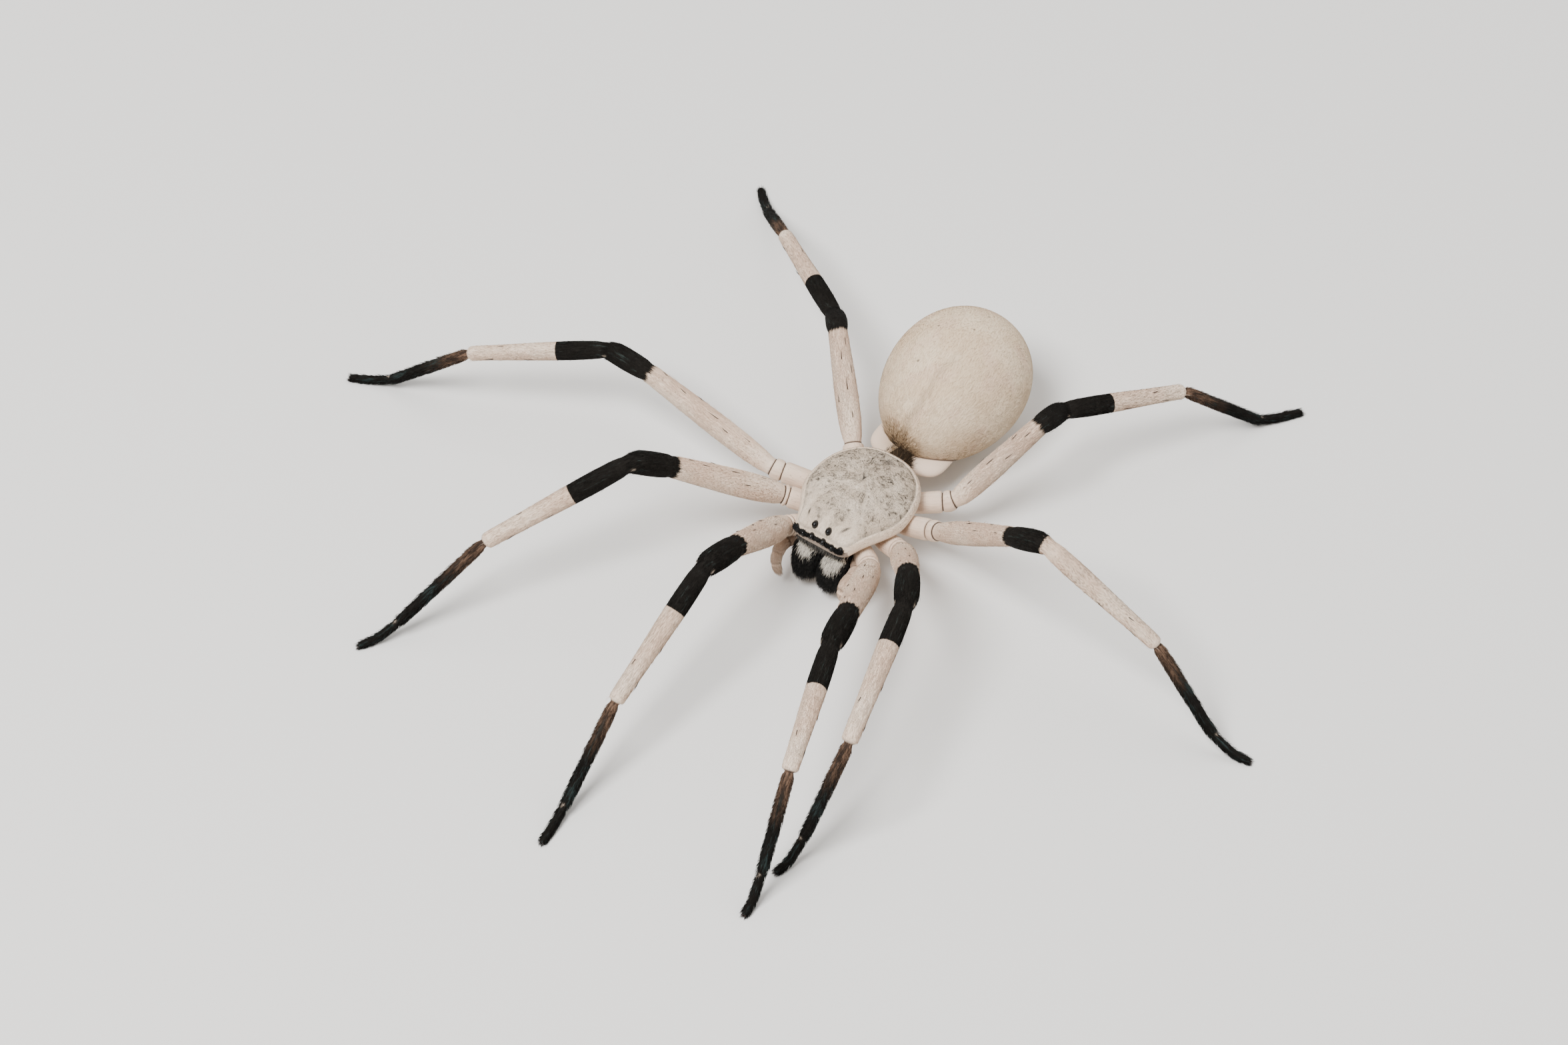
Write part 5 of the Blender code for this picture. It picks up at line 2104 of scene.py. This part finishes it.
    def shaggy(self, rng: Random) -> Piece:
        """The long dark hair round the waist and up the front of the abdomen.

        Args:
            rng: the random source.

        Returns:
            The hair.
        """
        ball = unit(rng.normal(0, 1, (90000, 3)))
        ball = ball[ball[:, 2] < -0.6]
        near = self.darkness(self.egg(ball)) > rng.random(len(ball)) * 0.6 + 0.35
        ball = ball[near][: self.patch_count]
        length = rng.uniform(0.5, 1.05, len(ball))
        front = self.tufts(rng, ball, length, np.radians(rng.uniform(10, 32, len(ball))), 0.045)
        low = np.clip((7.4 - front.roots[:, 2]) / 2.2, 0, 1)
        mixed = front.marks["dark"] * rng.uniform(0.8, 1.3, len(ball))
        front.marks["dark"] = np.clip(mixed + 0.5 * low, 0, 1)
        front = front.kept(front.marks["seam"] < 0)
        count = self.waist_count
        turn = rng.uniform(-1.7, 1.3, count)
        along = rng.uniform(6.2, 7.9, count)
        out = np.stack((np.sin(turn), np.zeros(count), np.cos(turn)), axis=-1)
        roots = np.stack((out[:, 0] * 0.75 - 0.1, along, 4.85 + out[:, 2] * 0.75), axis=-1)
        lie = unit(out + np.array((0, 0.15, 0.25)) + rng.normal(0, 0.3, (count, 3)))
        marks = {
            "seam": np.full(count, -2.0),
            "dark": rng.uniform(0.68, 1.0, count),
            "tone": rng.random(count),
        }
        bend = np.tile((0.0, 0.25, 0.0), (count, 1))
        spot = np.stack((turn * 0.1 + 0.5, along * 0.1), axis=-1)
        length = rng.uniform(0.8, 1.6, count)
        waist = Tufts(roots, lie, bend, length, np.full(count, 0.048), spot, marks)
        return front.joined(waist).grow("abdomen_hair")

    def waist(self) -> Piece:
        """The narrow waist, which ends inside the body at both ends."""
        joints = np.array(((0, 2.6, 4.9), (0, 5.4, 4.7), (0, 7.4, 4.8), (0, 10.2, 5.9)), float)
        keys = ((0, 0.77), (1, 0.79), (1.6, 0.70), (2.2, 0.79), (3, 0.77))
        limb = Limb("pedicel", joints, np.arange(4, dtype=float), keys)
        return limb.skin(cuts=5)

    def spinnerets(self) -> Piece:
        """Six short spinnerets on a low mound under the abdomen's end."""
        root = np.array((0.1, 25.1, 6.0))
        pieces = [(root + (0, -1.6, 0.3), root + (0, 0.55, 0), ((0, 1.42), (0.7, 1.3), (1, 0.9)))]
        for across, up, length, radius in self.spinneret_pairs:
            for sign in (-1, 1):
                start = root + (sign * across, -0.2, up)
                shape = ((0, 1.0), (0.5, 0.95), (0.62, 0.8), (0.7, 0.84), (1, 0.35))
                keys = tuple((place, radius * share) for place, share in shape)
                pieces.append((start, start + (sign * 0.12, length, -0.25), keys))
        made = []
        for start, end, keys in pieces:
            limb = Limb("spinneret", np.array((start, end)), np.array((0.0, 1.0)), keys, 0.1, sides=16)
            made.append(limb.skin(cuts=3))
        Bench.only(made[0])
        for obj in made[1:]:
            obj.select_set(True)
        bpy.ops.object.join()
        made[0].name = "spinnerets_skin"
        return made[0]

    def build(self, finishes: Finishes, rng: Random) -> None:
        """Makes and dresses the rear half of the body.

        Args:
            finishes: the materials.
            rng: the random source.
        """
        dress(self.skin(), finishes.abdomen_skin, ("abdomen",))
        dress(self.coat(rng), finishes.abdomen_coat)
        dress(self.shaggy(rng), finishes.abdomen_coat)
        for obj, node in ((self.waist(), "pedicel"), (self.spinnerets(), "spinnerets")):
            make_pale(obj)
            dress(obj, finishes.limb_skin, (node,))


# Studio


@dataclass(frozen=True)
class Studio:
    """The plain pale floor, the soft lights and the camera."""

    azimuth: float = 34.8
    elevation: float = 51.0
    distance: float = 438.5
    lens: float = 100.0
    target: tuple = (-5.3, -5.79, 5.0)
    sensor_width: float = 36.0
    floor_side: float = 6.0
    floor_drop: float = 0.00002
    floor_colour: tuple = (0.80, 0.785, 0.76)
    lights: tuple = (
        ("key", -8, 62, 0.70, 0.26, 7.8),
        ("fill", 120, 45, 0.90, 0.60, 1.8),
        ("top", 200, 72, 0.90, 0.60, 2.6),
    )
    sky_colour: tuple = (1.0, 0.985, 0.955, 1.0)
    sky_strength: float = 0.42

    def floor(self) -> None:
        """Lays the floor just under the feet."""
        bpy.ops.object.select_all(action="DESELECT")
        bpy.ops.mesh.primitive_plane_add(size=self.floor_side, location=(0, 0, -self.floor_drop))
        obj = bpy.context.object
        obj.name = "floor"
        shader = Shader("floor", roughness=0.85, specular=0.2)
        shader.coloured((*self.floor_colour, 1.0))
        obj.data.materials.append(shader.material)

    def direction(self, azimuth: float, elevation: float) -> Vector:
        """The direction from the model toward an azimuth and elevation in degrees."""
        turn, rise = math.radians(azimuth), math.radians(elevation)
        level = math.cos(rise)
        return Vector((math.sin(turn) * level, -math.cos(turn) * level, math.sin(rise)))

    def camera(self) -> None:
        """Sets the camera at the photograph's viewing angle."""
        lens = bpy.data.cameras.new("camera")
        camera = bpy.data.objects.new("camera", lens)
        bpy.context.scene.collection.objects.link(camera)
        back = self.direction(self.azimuth, self.elevation)
        target = Vector(placed(np.array(self.target)))
        camera.location = target + back * self.distance * MM
        camera.rotation_euler = (-back).to_track_quat("-Z", "Y").to_euler()
        lens.lens = self.lens
        lens.sensor_width = self.sensor_width
        lens.clip_start = 0.01
        bpy.context.scene.camera = camera

    def light(
        self, name: str, azimuth: float, elevation: float, away: float, size: float, power: float
    ) -> None:
        """Adds one soft square light that faces the model.

        Args:
            name: its name.
            azimuth: where it stands, in degrees.
            elevation: how high, in degrees.
            away: how far from the model, in metres.
            size: its side, in metres.
            power: in watts.
        """
        lamp = bpy.data.lights.new(name, "AREA")
        lamp.energy = power
        lamp.size = size
        obj = bpy.data.objects.new(name, lamp)
        bpy.context.scene.collection.objects.link(obj)
        back = self.direction(azimuth, elevation)
        obj.location = back * away
        obj.rotation_euler = (-back).to_track_quat("-Z", "Y").to_euler()

    def build(self) -> None:
        """Sets up the floor, the camera, the lights and the sky."""
        self.floor()
        self.camera()
        for row in self.lights:
            self.light(*row)
        world = bpy.data.worlds.new("studio")
        world.use_nodes = True
        sky = world.node_tree.nodes["Background"]
        sky.inputs["Color"].default_value = self.sky_colour
        sky.inputs["Strength"].default_value = self.sky_strength
        bpy.context.scene.world = world


PALPS = (
    Palp(
        Side.LEFT,
        ((2.2, -4.2, 3.5), (3.3, -5.5, 3.9), (4.1, -6.8, 4.4), (4.05, -7.8, 4.5),
         (3.97, -8.65, 4.3), (4.05, -9.1, 3.4), (4.4, -9.0, 2.7), (4.7, -8.8, 2.1)),
    ),
    Palp(
        Side.RIGHT,
        ((-2.2, -4.2, 3.5), (-3.3, -5.4, 3.6), (-3.8, -6.4, 4.3), (-4.15, -7.5, 4.4),
         (-4.15, -8.3, 4.2), (-4.0, -9.1, 3.6), (-3.7, -9.5, 2.9), (-3.2, -9.5, 2.1)),
    ),
)


def main() -> None:
    """Builds the studio and the spider, piece by piece."""
    logging.basicConfig(level=logging.INFO, format="%(message)s")
    rng = np.random.default_rng(SEED)
    Studio().build()
    front = Cephalothorax()
    finishes = Finishes.made(tuple((place, radius) for _, place, radius in front.eye_rows()))
    front.build(finishes, rng)
    Abdomen().build(finishes, rng)
    for side in Side:
        Jaw(side).build(finishes, rng)
    for palp in PALPS:
        palp.build(finishes, rng)
    for stance in STANCES:
        Leg(stance).build(finishes, rng)


if __name__ == "__main__":
    main()
